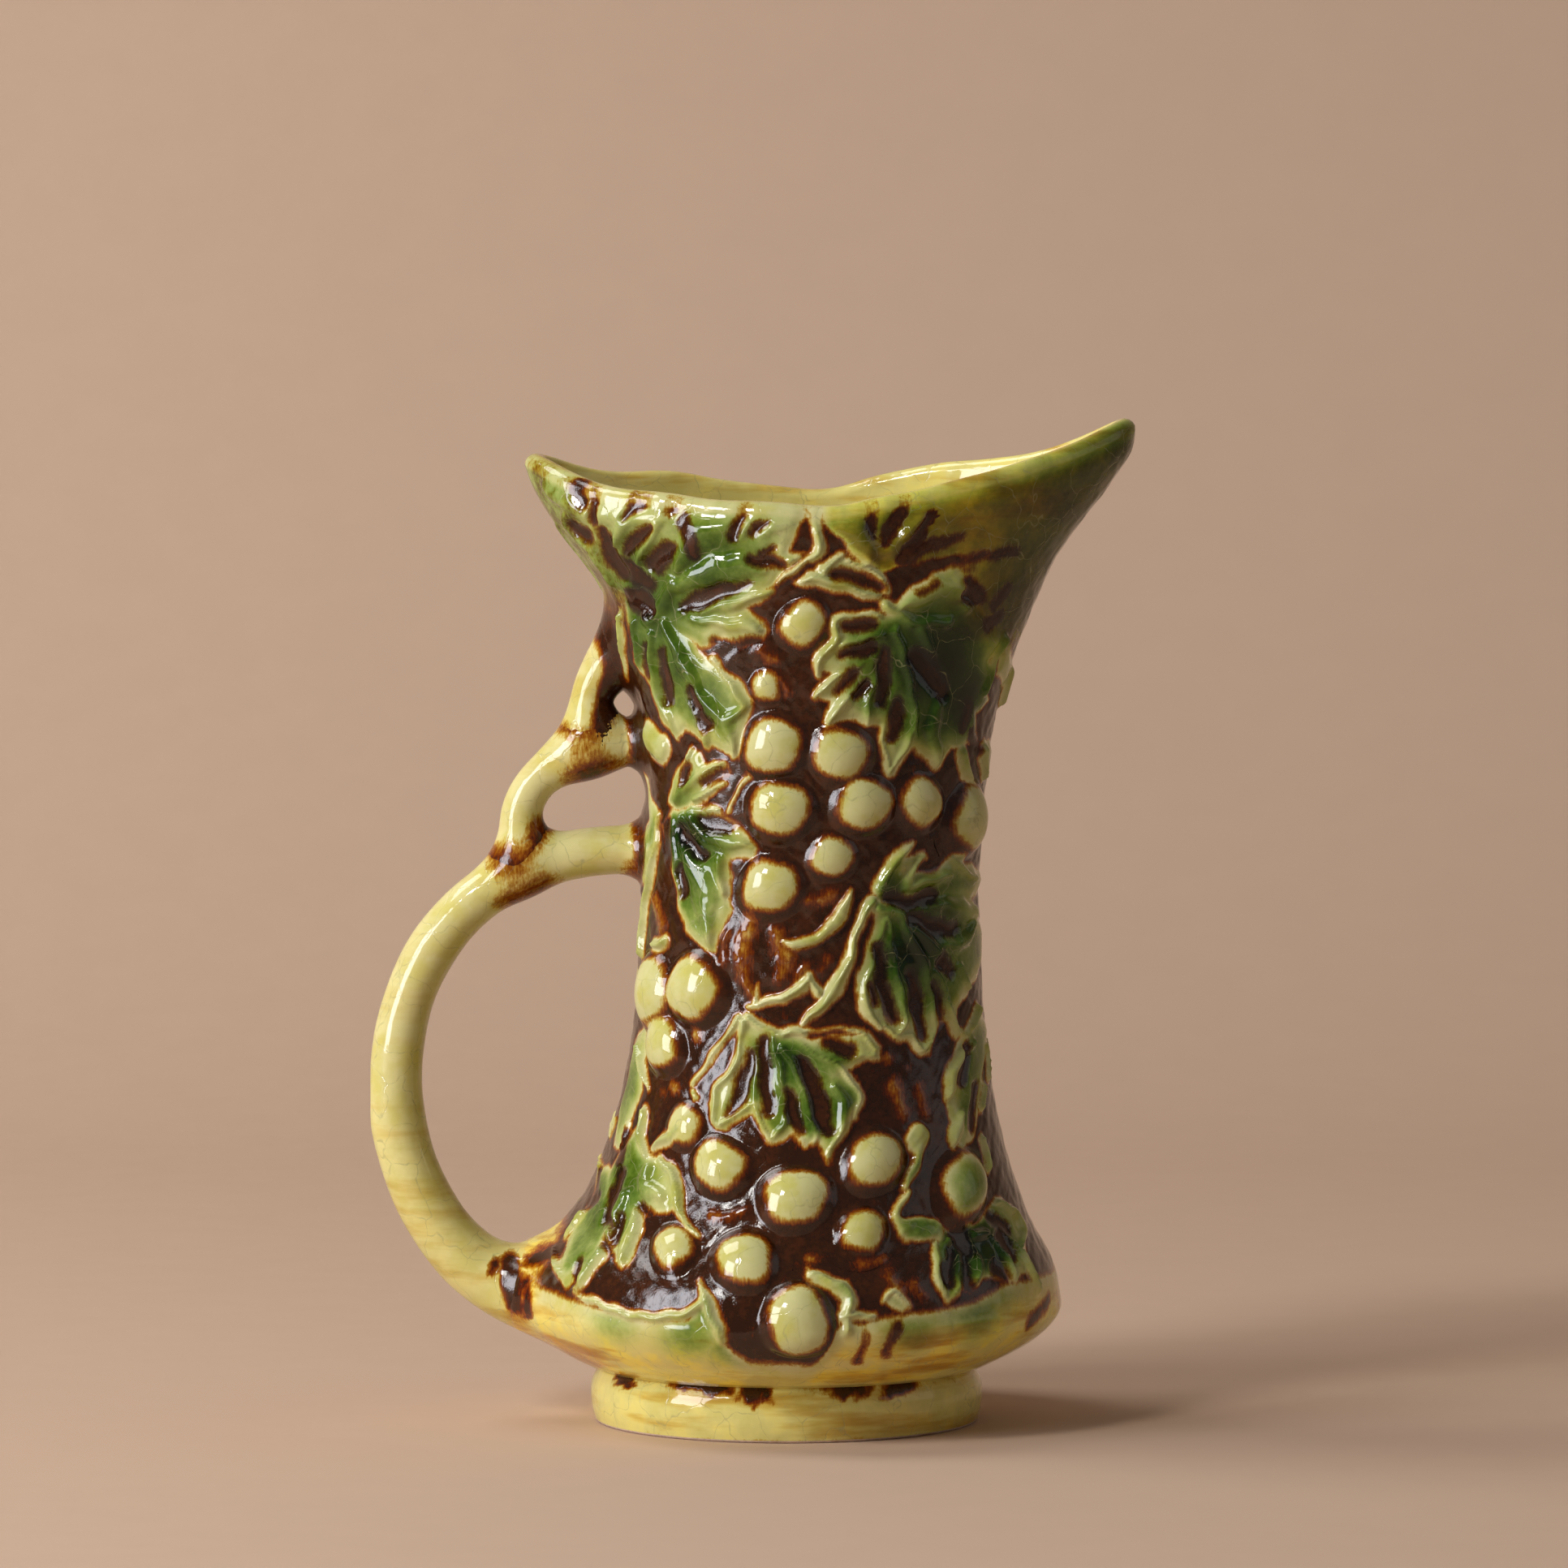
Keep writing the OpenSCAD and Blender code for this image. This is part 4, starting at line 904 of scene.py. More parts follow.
class Relief:
    """Heights and glazes of the sprigs over the wall, in millimetres."""

    def __init__(self, wall, sizes):
        self.wall = wall
        self.leaf_t = sizes.leaf_relief / MM
        self.rib_t = sizes.rib_relief / MM
        self.strands = handle_strands(wall, sizes.handle_reach / MM)
        self.leaves = {f"leaf_{k}": [self.drawn(flow(s)) for s in rows] for k, rows in LEAF_RIBS.items()}
        self.fills = {f"leaf_{k}": [self.outlined(s) for s in LEAF_FILLS.get(k, [])] for k in LEAF_RIBS}
        self.stems = {k: [self.drawn(flow(s)) for s in rows] for k, rows in STEM_RIBS.items()}
        self.pits = [self.drawn(flow(s)) for s in LEAF_PITS]
        self.berries = {f"berries_{k}": [(u, v, r / 2) for u, v, r in self.drawn(rows)]
                        for k, rows in BERRIES.items()}
        self.crumbs = [[p, p] for p in self.drawn(CRUMBS)]
        self.embers = [self.drawn(flow(s)) for s in EMBERS]
        self.spout_wash = [self.outlined(SPOUT_WASH)]
        self.greens = self.patches(GREENS)
        self.deep_greens_and_shade = self.patches(DEEP_GREENS_AND_SHADE)
        self.pales = self.patches(PALES)
        self.scorches = [self.drawn(flow(s)) for s in SCORCHES]
        a, z = wall.seen_at(*zip(*HEM_LINE))
        order = np.argsort(a)
        self.hem_a, self.hem_z = a[order], z[order]

    def drawn(self, stroke):
        """A stroke's pixels laid out flat on the wall."""
        x, y, r = zip(*stroke)
        a, z = self.wall.seen_at(x, y)
        u, v = self.wall.unroll(a, z)
        turned = np.clip(np.abs(np.sin(a)), 0.35, 1)
        return list(zip(u, v, np.array(r) * PIXEL / np.sqrt(turned)))

    def outlined(self, outline):
        """An outline's pixels laid out flat on the wall."""
        return np.stack(self.wall.unroll(*self.wall.seen_at(*zip(*outline))), -1)

    def patches(self, rows):
        """Round patches of colour laid out flat on the wall."""
        places = self.drawn([row[:3] for row in rows])
        return [(*place, row[3]) for place, row in zip(places, rows)]

    def patch_field(self, u, v, rows):
        """Strongest patch at each place, 0 to 1."""
        out = np.zeros(u.shape)
        for pu, pv, r, strength in rows:
            out = np.maximum(out, strength * np.exp(-((u - pu)**2 + (v - pv)**2) / (r * r)))
        return out

    def handle_swell(self, a, z):
        """How far the wall is drawn out at the handle's ends, how near they are, and their stains."""
        out, close, stain = np.zeros(a.shape), np.zeros(a.shape), np.full(a.shape, OUT_OF_REACH)
        near = np.cos(a) < -0.5
        if near.any():
            near = np.nonzero(near)[0]
            foot, away = self.wall.point(a[near], z[near]), self.wall.normal(a[near], z[near])
            for strand in self.strands.values():
                blend = strand.blend_at(z[near])
                met = strand.gap(foot) < blend
                if not met.any():
                    continue
                blend, drawn = blend[met], np.zeros(met.sum())
                for _ in range(JOIN_STEPS):
                    p = foot[met] + away[met] * drawn[:, None]
                    gap = strand.gap(p)
                    drawn = np.clip(drawn - joined(self.wall.outside(p), gap, blend), 0, blend / 3)
                here = near[met]
                out[here] = np.maximum(out[here], drawn)
                close[here] = np.maximum(close[here], 1 - ease(0.25, 0.6, gap / blend))
                stain[here] = np.maximum(stain[here], root_stain(p))
        return out, close, stain

    def at(self, a, z):
        """Height, glaze and each sprig's reach at places on the wall."""
        wall = self.wall
        flat_u, flat_v = wall.unroll(a, z)
        u, v = (flat_u + 0.25 * np.sin(0.8 * flat_v + 0.9 * np.sin(0.5 * flat_u)),
                flat_v + 0.25 * np.sin(0.9 * flat_u + 0.9 * np.sin(0.45 * flat_v)))
        rim = wall.rim(a)
        none = np.full(u.shape, OUT_OF_REACH)
        reach = {}
        rib, fill, crest = none, none, np.zeros(u.shape)
        for name, rows in self.leaves.items():
            this, top = stroke_field(u, v, rows)
            body = fill_field(u, v, self.fills[name])
            reach[name] = np.maximum(this, body)
            rib, fill, crest = np.maximum(rib, this), np.maximum(fill, body), np.maximum(crest, top)
        stem, stem_crest = none, np.zeros(u.shape)
        for name, rows in self.stems.items():
            reach[name], top = stroke_field(u, v, rows)
            stem, stem_crest = np.maximum(stem, reach[name]), np.maximum(stem_crest, top)
        pit = stroke_field(u, v, self.pits)[0]
        crumb, crumb_crest = stroke_field(u, v, self.crumbs)
        ember, ember_crest = stroke_field(u, v, self.embers)
        berry, cap = np.zeros(u.shape), none
        for name, rows in self.berries.items():
            for k, (bu, bv, r) in enumerate(rows):
                du, dv = flat_u - bu, flat_v - bv
                turn = np.arctan2(dv, du)
                dent = 1 + 0.035 * np.sin(2 * turn + bu) + 0.03 * np.sin(3 * turn + bv)
                worn = dent + 0.05 * np.sin(4 * turn + bu + bv)
                gap = np.hypot(du, dv) * dent
                reach[f"{name}.{k}"] = r * BERRY_SPREAD - gap
                berry = merge(berry, r * 0.6 * np.clip(1 - (gap / r / BERRY_SPREAD)**2, 0, 1)**0.85, 0.6)
                cap = np.maximum(cap, r * 0.89 - np.hypot(du, dv - 0.06 * r) * worn)
        hem = np.interp(to_front(a), self.hem_a, self.hem_z) - z
        leaf = np.maximum(rib, fill)

        # height in millimetres, each layer merged into those before it
        sunk = ease(-1.4, 1.0, pit)
        height = merge(0.85 * self.leaf_t * ease(-1.2, 2.6, fill), self.leaf_t * ease(-1.2, 1.7, rib), 0.8)
        height = (height + self.rib_t * crest**2 * ease(0, 1.8, rib)) * (1 - 0.75 * sunk)
        height = merge(height, 1.2 * ease(-0.9, 0.9, stem) + 0.8 * stem_crest, 0.5)
        height = merge(height, 0.7 * ease(-0.8, 1.2, hem) * ease(14, 20, z) * (1 - 0.9 * sunk), 0.5)
        height = merge(height, 0.6 * np.clip(crumb_crest, 0, 1), 0.5)
        height = merge(height, 0.9 * ease(-1.5, 1.6, ember) + 0.2 * ember_crest, 0.6)
        coarse = np.sin(0.62 * u + 1.1 * np.sin(0.37 * v + 0.4)) * np.sin(0.55 * v + 1.3 * np.sin(0.41 * u))
        fine = np.sin(1.5 * u + 0.8 * np.sin(0.9 * v)) * np.sin(1.3 * v + 0.9 * np.sin(1.1 * u))
        rough = 0.65 * coarse + 0.35 * fine
        bare = 1 - ease(-1.5, 1.0, np.maximum(leaf, hem))
        height = height + GROUND_ROUGH * (1 + rough) * bare
        height = merge(height, berry, 1.2)
        height = height * (1 - 0.7 * ease(rim - 7, rim - 2.5, z))
        height = height * (1 - 0.75 * ease(0.93, 0.985, -np.cos(a)) * ease(120, 150, z))
        drawn_out, by_handle, stain = self.handle_swell(a, z)
        height = height * (1 - by_handle) + drawn_out

        # brown pool: what stands up sheds it, and pits, scorches and the handle's ends hold it
        raised = np.maximum.reduce([
            1.5 * rib + 0.45, 1.4 * fill + 0.3, 1.5 * stem + 0.4, cap, hem, crumb * 0.6 - 0.3,
            np.minimum(ember * 0.4 - 0.25, 0.3), rough * bare * 0.6 - 1.1])
        hollow = np.where(np.maximum(leaf, hem) > -1, pit - 0.2, OUT_OF_REACH)
        brown = np.maximum(-raised, hollow)
        spout = np.maximum(ease(-0.6, 1.5, fill_field(u, v, self.spout_wash)),
                           ease(0.5, 0.75, np.cos(a)) * ease(172, 186, z))
        thumb = ease(0.74, 0.93, -np.cos(a)) * ease(176, 196, z)
        olive = np.maximum(spout, thumb)
        wash = np.where(np.cos(a) > 0, -1.75, -1.1) + 0.25 * rough
        brown = np.where(hollow > -0.8, brown, brown * (1 - olive) + wash * olive)
        brown = np.minimum(brown, 6 - 6.9 * ease(rim - 6, rim - 2.5, z))
        brown = brown * (1 - by_handle) + join_brown(z) * by_handle
        scorch = stroke_field(u, v, self.scorches)[0]
        brown = np.maximum.reduce([brown, np.minimum(scorch - 0.5, 0.7), stain])

        # green in the leaves' hearts and at both ends of the mouth, then deep green and yellow; towards the
        # spout's tip the olive and deep green are painted shade
        green = np.maximum(self.patch_field(u, v, self.greens), 0.58 * ease(1.6, 6.0, fill))
        green = green * ease(0.4, 3.4, np.maximum.reduce([leaf, cap, hem, 2 * stem]))
        green = green * (1 - self.patch_field(u, v, self.pales))
        green = np.maximum(green, 0.13 * ease(0.2, 1.5, np.maximum(leaf, stem)))
        # painted shade: the olive grows greener and darker towards the spout's tip, the side away from the
        # lamps
        olive_and_shade = 0.36 + 0.03 * thumb + 0.1 * rough + 0.3 * ease(0.55, 0.95, np.cos(a))
        green = np.maximum(green, olive_and_shade * olive)
        green = np.maximum(green, 0.04 * ease(0, 1.5, cap)) * (1 - 0.75 * ease(rim - 4, rim - 2, z))
        # deep green: deeper glaze in places, painted shade in the patches on the spout side
        deep = self.patch_field(u, v, self.deep_greens_and_shade) * ease(0.2, 1.8, leaf)
        # painted shade: deeper green towards the spout's tip, away from the lamps
        deep = np.maximum(deep, 0.2 * spout * ease(0.7, 0.98, np.cos(a)))
        spout_amber = 1.95 - 0.4 * ease(178, 204, z)
        spout_amber = spout_amber * spout * (1 - 0.55 * ease(rim - 6, rim - 2, z))
        yellow = np.maximum.reduce([ease(1.5, 9, hem), by_handle * at_root(z), spout_amber])
        glaze = np.stack([np.clip(brown, -4, 4), green, yellow, deep], -1)
        return height, glaze, reach


GROUND_REACH = -2.4
SINK = 0.5


def laid(relief, name, a, z):
    """One sprig's surface, or the wall's where name is None.

    It follows the relief where it owns the place and runs just under it elsewhere.
    Also gives the relief itself, the glaze, the sprig's reach and how far another one owns the place.
    """
    height, glaze, reach = relief.at(a, z)
    own = np.full(a.shape, GROUND_REACH) if name is None else reach[name]
    rest = [r for k, r in reach.items() if k != name]
    if name is not None:
        rest.append(np.full(a.shape, GROUND_REACH))
    others = np.maximum.reduce(rest)
    rim = relief.wall.rim(a)
    lip = ease(rim - 4.6, rim - 3.4, z)
    if name is None:
        under = ease(0.3, 1.3, others - own) * (1 - lip)
        set_back = 0.03
    else:
        under = np.maximum(ease(0.3, 1.0, others - own), lip)
        set_back = 0.0
    foot, out = relief.wall.point(a, z), relief.wall.normal(a, z)
    full = foot + out * height[..., None]
    return full - out * (SINK * under + set_back)[..., None], full, glaze, own, others - own


def facing(places):
    """Outward directions of a sheet of places given by row and column."""
    along = np.gradient(places, axis=0)
    across = np.gradient(places, axis=1)
    out = np.cross(across, along)
    return out / np.maximum(np.linalg.norm(out, axis=-1, keepdims=True), 1e-9)


# Mesh making

SEAM_GAP = 2e-6


def clear_selection():
    """Leaves object mode with nothing selected."""
    if bpy.context.object and bpy.context.object.mode != "OBJECT":
        bpy.ops.object.mode_set(mode="OBJECT")
    bpy.ops.object.select_all(action="DESELECT")


def pick(*pieces):
    """Selects these pieces and no others, the first of them active."""
    clear_selection()
    for piece in pieces:
        piece.select_set(True)
    bpy.context.view_layer.objects.active = pieces[0]


def new_sheet(name, columns, rows):
    """A flat grid, and each vertex's column and row."""
    clear_selection()
    bpy.ops.mesh.primitive_grid_add(x_subdivisions=columns, y_subdivisions=rows, size=1)
    piece = bpy.context.active_object
    piece.name = piece.data.name = name
    flat = read_places(piece)
    x, y = flat[:, 0] - flat[:, 0].min(), flat[:, 1] - flat[:, 1].min()
    column = np.rint(x / x.max() * columns).astype(int)
    row = np.rint(y / y.max() * rows).astype(int)
    return piece, column, row


def read_places(piece):
    """The piece's vertices as an array."""
    flat = np.empty(len(piece.data.vertices) * 3)
    piece.data.vertices.foreach_get("co", flat)
    return flat.reshape(-1, 3)


def shape(piece, places):
    """Moves the piece's vertices to places in millimetres, kept inside the part's box."""
    low, high = np.array(cad_box[0]), np.array(cad_box[1])
    piece.data.vertices.foreach_set("co", np.clip(places * MM, low, high).ravel())
    piece.data.update()


def paint(piece, glaze):
    """Stores the glaze at each vertex: brown pool in millimetres, green, yellow and deep green, the last
    partly painted shade.

    Yellow over 1 lays an even amber coat on the yellow.
    """
    layer = piece.data.color_attributes.new(name="glaze", type="FLOAT_COLOR", domain="POINT")
    layer.data.foreach_set("color", glaze.astype(np.float32).ravel())


def keep_facing(piece, directions):
    """Stores which way the relief faces at each vertex, for when the piece is finished."""
    layer = piece.data.attributes.new(name="facing", type="FLOAT_VECTOR", domain="POINT")
    layer.data.foreach_set("vector", directions.astype(np.float32).ravel())


def face_as_kept(piece, turned=(1, 1, 1), back_from=None):
    """Shades the piece the way the relief faces, so that neighbours run into each other without a seam."""
    flat = np.empty(len(piece.data.vertices) * 3, np.float32)
    piece.data.attributes["facing"].data.foreach_get("vector", flat)
    directions = flat.reshape(-1, 3) * np.array(turned)
    if back_from is not None:
        directions[back_from:] *= -1
    piece.data.normals_split_custom_set_from_vertices(directions.tolist())


def close_up(piece):
    """Merges the seam and poles of a rolled sheet and points its faces outwards."""
    pick(piece)
    bpy.ops.object.mode_set(mode="EDIT")
    bpy.ops.mesh.select_all(action="SELECT")
    bpy.ops.mesh.remove_doubles(threshold=SEAM_GAP)
    bpy.ops.mesh.normals_make_consistent(inside=False)
    bpy.ops.object.mode_set(mode="OBJECT")
    bpy.ops.object.shade_smooth()


def drop_faces(piece, drop):
    """Deletes the marked faces."""
    pick(piece)
    bpy.context.tool_settings.mesh_select_mode = (False, False, True)
    bpy.ops.object.mode_set(mode="EDIT")
    bpy.ops.mesh.select_all(action="DESELECT")
    bpy.ops.object.mode_set(mode="OBJECT")
    piece.data.polygons.foreach_set("select", drop)
    bpy.ops.object.mode_set(mode="EDIT")
    bpy.ops.mesh.delete(type="FACE")
    bpy.ops.object.mode_set(mode="OBJECT")


def thicken(piece, thickness):
    """Gives a sheet its thickness, towards the wall."""
    pick(piece)
    body = piece.modifiers.new("body", "SOLIDIFY")
    body.thickness = thickness * MM
    body.offset = -1
    bpy.ops.object.modifier_apply(modifier=body.name)
    bpy.ops.object.shade_smooth()


def set_in(piece, node, material):
    """Puts a finished piece in place of its node."""
    piece.data.materials.clear()
    piece.data.materials.append(material)
    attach(piece, "root")
    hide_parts(node)


def far_copy(piece, name):
    """The same piece on the back of the pitcher."""
    pick(piece)
    bpy.ops.object.duplicate(linked=False)
    copy = bpy.context.active_object
    copy.name = copy.data.name = name
    bpy.ops.object.mode_set(mode="EDIT")
    bpy.ops.mesh.select_all(action="SELECT")
    bpy.ops.transform.resize(value=(1, -1, 1), center_override=(0, 0, 0))
    bpy.ops.mesh.flip_normals()
    bpy.ops.object.mode_set(mode="OBJECT")
    return copy


# Glaze

class Shade:
    """Short ways to lay nodes in a material."""

    def __init__(self, name):
        self.material = bpy.data.materials.new(name)
        self.material.use_nodes = True
        self.tree = self.material.node_tree
        self.tree.nodes.clear()

    def node(self, kind, **values):
        """A node with its settings."""
        made = self.tree.nodes.new(kind)
        for key, value in values.items():
            setattr(made, key, value)
        return made

    def put(self, socket, value):
        """Feeds a socket from another, or gives it a value."""
        if isinstance(value, bpy.types.NodeSocket):
            self.tree.links.new(value, socket)
        elif socket.type == "RGBA":
            socket.default_value = (*value, 1)
        else:
            socket.default_value = value

    def math(self, operation, *values):
        """One sum of values or sockets."""
        made = self.node("ShaderNodeMath", operation=operation)
        for socket, value in zip(made.inputs, values):
            self.put(socket, value)
        return made.outputs[0]

    def mix(self, amount, a, b):
        """Two colours mixed by an amount."""
        made = self.node("ShaderNodeMix", data_type="RGBA")
        self.put(made.inputs[0], amount)
        self.put(made.inputs[6], a)
        self.put(made.inputs[7], b)
        return made.outputs[2]

    def step(self, low, high, value, bottom=0.0, top=1.0):
        """Bottom below low, top above high, smooth between."""
        made = self.node("ShaderNodeMapRange", interpolation_type="SMOOTHSTEP")
        for socket, x in zip(made.inputs, (value, low, high, bottom, top)):
            self.put(socket, x)
        return made.outputs[0]

    def place(self, scale):
        """Places on the piece in millimetres, stretched by a scale."""
        coords = self.node("ShaderNodeTexCoord")
        turn = self.node("ShaderNodeMapping")
        self.put(turn.inputs["Scale"], tuple(s / MM for s in scale))
        self.put(turn.inputs["Vector"], coords.outputs["Object"])
        return turn.outputs[0]

    def noise(self, vector, scale, detail=3.0, rough=0.55):
        """Cloudy noise about one half."""
        made = self.node("ShaderNodeTexNoise")
        for key, value in (("Vector", vector), ("Scale", scale), ("Detail", detail), ("Roughness", rough)):
            self.put(made.inputs[key], value)
        return made.outputs["Fac"]

    def stir(self, value, noise, amount):
        """A value moved up and down by noise."""
        return self.math("MULTIPLY_ADD", self.math("SUBTRACT", noise, 0.5), amount, value)

    def coat(self, under, glaze, thickness):
        """A colour under a clear glaze, from what one coat lets through and how many coats there are."""
        tint = self.node("ShaderNodeCombineColor")
        for socket, through_it in zip(tint.inputs, glaze):
            self.put(socket, self.math("POWER", through_it, thickness))
        laid_on = self.node("ShaderNodeMix", data_type="RGBA", blend_type="MULTIPLY")
        self.put(laid_on.inputs[0], 1.0)
        self.put(laid_on.inputs[6], under)
        self.put(laid_on.inputs[7], tint.outputs[0])
        return laid_on.outputs[2]

    def bump(self, lift, strength, distance):
        """The surface's facing, roughened by a height."""
        made = self.node("ShaderNodeBump")
        for key, value in (("Strength", strength), ("Distance", distance), ("Height", lift)):
            self.put(made.inputs[key], value)
        return made.outputs[0]

    def surface(self, values):
        """Ends the material in a surface with these values."""
        made = self.node("ShaderNodeBsdfPrincipled")
        for key, value in values.items():
            self.put(made.inputs[key], value)
        self.put(self.node("ShaderNodeOutputMaterial").inputs[0], made.outputs[0])
        return self.material


def toned(colour, *shares):
    """A colour with its red, green and blue taken by shares."""
    return tuple(c * k for c, k in zip(colour, shares))


def make_glaze(name, glazes):
    """Lead glaze over moulded clay: green and cream on what stands up, brown pooled in the ground."""
    s = Shade(name)
    attribute = s.node("ShaderNodeAttribute", attribute_name="glaze")
    parts = s.node("ShaderNodeSeparateColor")
    s.put(parts.inputs[0], attribute.outputs["Color"])
    pool, green, yellow = parts.outputs[0], parts.outputs[1], parts.outputs[2]
    # deep green, partly painted shade on the spout side, darkens the colour below it
    deep = attribute.outputs["Alpha"]

    even = s.place((1, 1, 1))
    cloud = s.noise(even, 0.13, 3)
    fleck = s.noise(even, 0.75, 4, 0.6)
    hair = s.noise(s.place((2.4, 2.4, 0.5)), 0.8, 3, 0.6)
    streak = s.noise(s.place((0.03, 0.03, 0.2)), 1.0, 4)

    ragged = s.stir(s.stir(s.stir(pool, cloud, 2.0), fleck, 1.0), hair, 1.4)
    uneven = s.stir(s.stir(1.0, fleck, 0.8), cloud, 1.2)
    pale = s.mix(s.step(0.42, 0.66, cloud), glazes.cream, glazes.straw)
    warm = s.mix(s.step(0.35, 0.6, cloud, 0.0, 0.55), glazes.yellow, glazes.cream)
    colour = s.mix(yellow, pale, warm)
    greened = s.math("MULTIPLY", s.math("MULTIPLY", green, uneven), 1.6)
    colour = s.coat(colour, glazes.leaf, s.math("MULTIPLY_ADD", deep, 1.9, greened))
    streaked = s.math("MINIMUM", yellow, s.math("SUBTRACT", 2.0, yellow))
    stain = s.math("MULTIPLY", s.step(0.47, 0.72, streak), streaked)
    stain = s.math("ADD", stain, s.math("MAXIMUM", s.math("SUBTRACT", yellow, 1.0), 0.0))
    colour = s.coat(colour, glazes.amber, s.math("ADD", stain, s.step(-1.4, 0.6, ragged, 0.0, 3.0)))
    browned = s.step(-0.1, 0.6, ragged)
    mottled = s.math("MULTIPLY_ADD", cloud, 0.5, s.math("MULTIPLY", fleck, 0.5))
    pooled = s.mix(s.step(0.4, 0.7, mottled), glazes.brown, toned(glazes.brown, 2.3, 2.0, 1.5))
    # the brown pool goes near black under the deep green, partly painted shade
    pooled = s.mix(s.math("MULTIPLY", deep, 0.6), pooled, toned(glazes.brown, 0.15, 0.15, 0.15))
    colour = s.mix(browned, colour, pooled)

    wander = s.node("ShaderNodeTexNoise")
    s.put(wander.inputs["Vector"], even)
    s.put(wander.inputs["Scale"], 0.11)
    swing = s.node("ShaderNodeVectorMath", operation="MULTIPLY_ADD")
    s.put(swing.inputs[0], wander.outputs["Color"])
    swing.inputs[1].default_value = (9.0, 9.0, 9.0)
    s.put(swing.inputs[2], even)
    cells = s.node("ShaderNodeTexVoronoi", feature="DISTANCE_TO_EDGE")
    s.put(cells.inputs["Vector"], swing.outputs[0])
    s.put(cells.inputs["Scale"], 0.1)
    crackle = s.step(0.0, 0.017, cells.outputs["Distance"], 1.0, 0.0)
    crackle = s.math("MULTIPLY", crackle, s.step(0.35, 0.6, fleck, 0.1, 0.48))
    crackle = s.math("MULTIPLY", crackle, s.step(-0.8, 0.0, ragged, 1.0, 0.0))
    colour = s.mix(crackle, colour, toned(glazes.cream, 0.5, 0.52, 0.5))

    grain = s.noise(even, 2.2, 2, 0.7)
    wobble = s.noise(even, 0.16, 2)
    lift = s.math("MULTIPLY", s.math("MULTIPLY", grain, browned), 0.05)
    lift = s.math("MULTIPLY_ADD", wobble, 0.2, lift)
    lift = s.math("MULTIPLY_ADD", crackle, -0.06, lift)
    return s.surface({"Base Color": colour, "Roughness": s.step(0.3, 0.8, fleck, 0.05, 0.12), "IOR": 1.5,
                      "Normal": s.bump(lift, 0.8, MM)})


def make_clay(name, glazes):
    """Bare fired clay where the foot was wiped clean."""
    s = Shade(name)
    even = s.place((1, 1, 1))
    grain = s.noise(even, 1.2, 5, 0.7)
    stain = s.noise(even, 0.12, 3)
    colour = s.mix(s.step(0.35, 0.7, grain), glazes.clay, toned(glazes.clay, 0.72, 0.72, 0.72))
    colour = s.mix(s.step(0.52, 0.72, stain, 0, 0.5), colour, toned(glazes.clay, *glazes.amber))
    return s.surface({"Base Color": colour, "Roughness": s.step(0.2, 0.8, grain, 0.75, 0.95),
                      "Normal": s.bump(grain, 0.5, 0.2 * MM)})


def make_floor(name, glazes):
    """Plain matt floor with a faint grain."""
    s = Shade(name)
    even = s.place((0.001, 0.001, 0.001))
    grain = s.noise(even, 60.0, 3)
    colour = s.mix(s.step(0.3, 0.7, grain), glazes.floor, toned(glazes.floor, 0.985, 0.985, 0.985))
    return s.surface({"Base Color": colour, "Roughness": 0.8, "Specular IOR Level": 0.2})


def made_once(name, make):
    """A finish by its name, made the first time it is asked for."""
    return bpy.data.materials.get(name) or make(name, bpy.context.scene.pitcher_glazes)


def glaze_material():
    """The pitcher's glaze."""
    return made_once("majolica_glaze", make_glaze)


# the relief, kept here once it is worked out
kept = {}


def pitcher_relief():
    """The wall's relief, worked out once from the sizes."""
    if "relief" not in kept:
        sizes = bpy.context.scene.pitcher_sizes
        kept["relief"] = Relief(Wall(sizes), sizes)
    return kept["relief"]


# Wall

WALL_COLUMNS = 320
OUTER_ROWS = 226
LIP_ROWS = 8
INNER_ROWS = 18
WELL_ROWS = 5
# height at which the inside turns in to its floor
WELL_Z = 33.0
# share of the base's radius at which its inner faces meet its outer ones
BASE_RING = 0.8
# brown pool and yellow of the places without relief
BASE_GLAZE, EDGE_GLAZE, LIP_GLAZE = (-3, 0.3), (-2, 0.3), (-1.9, 0.5)
MOUTH_GLAZE, INSIDE_GLAZE, WELL_GLAZE = (-2.4, 0.55), (-4, 0.55), (-3, 1)
# columns lapped over the seam to find which way the wall faces there
LAP = 3


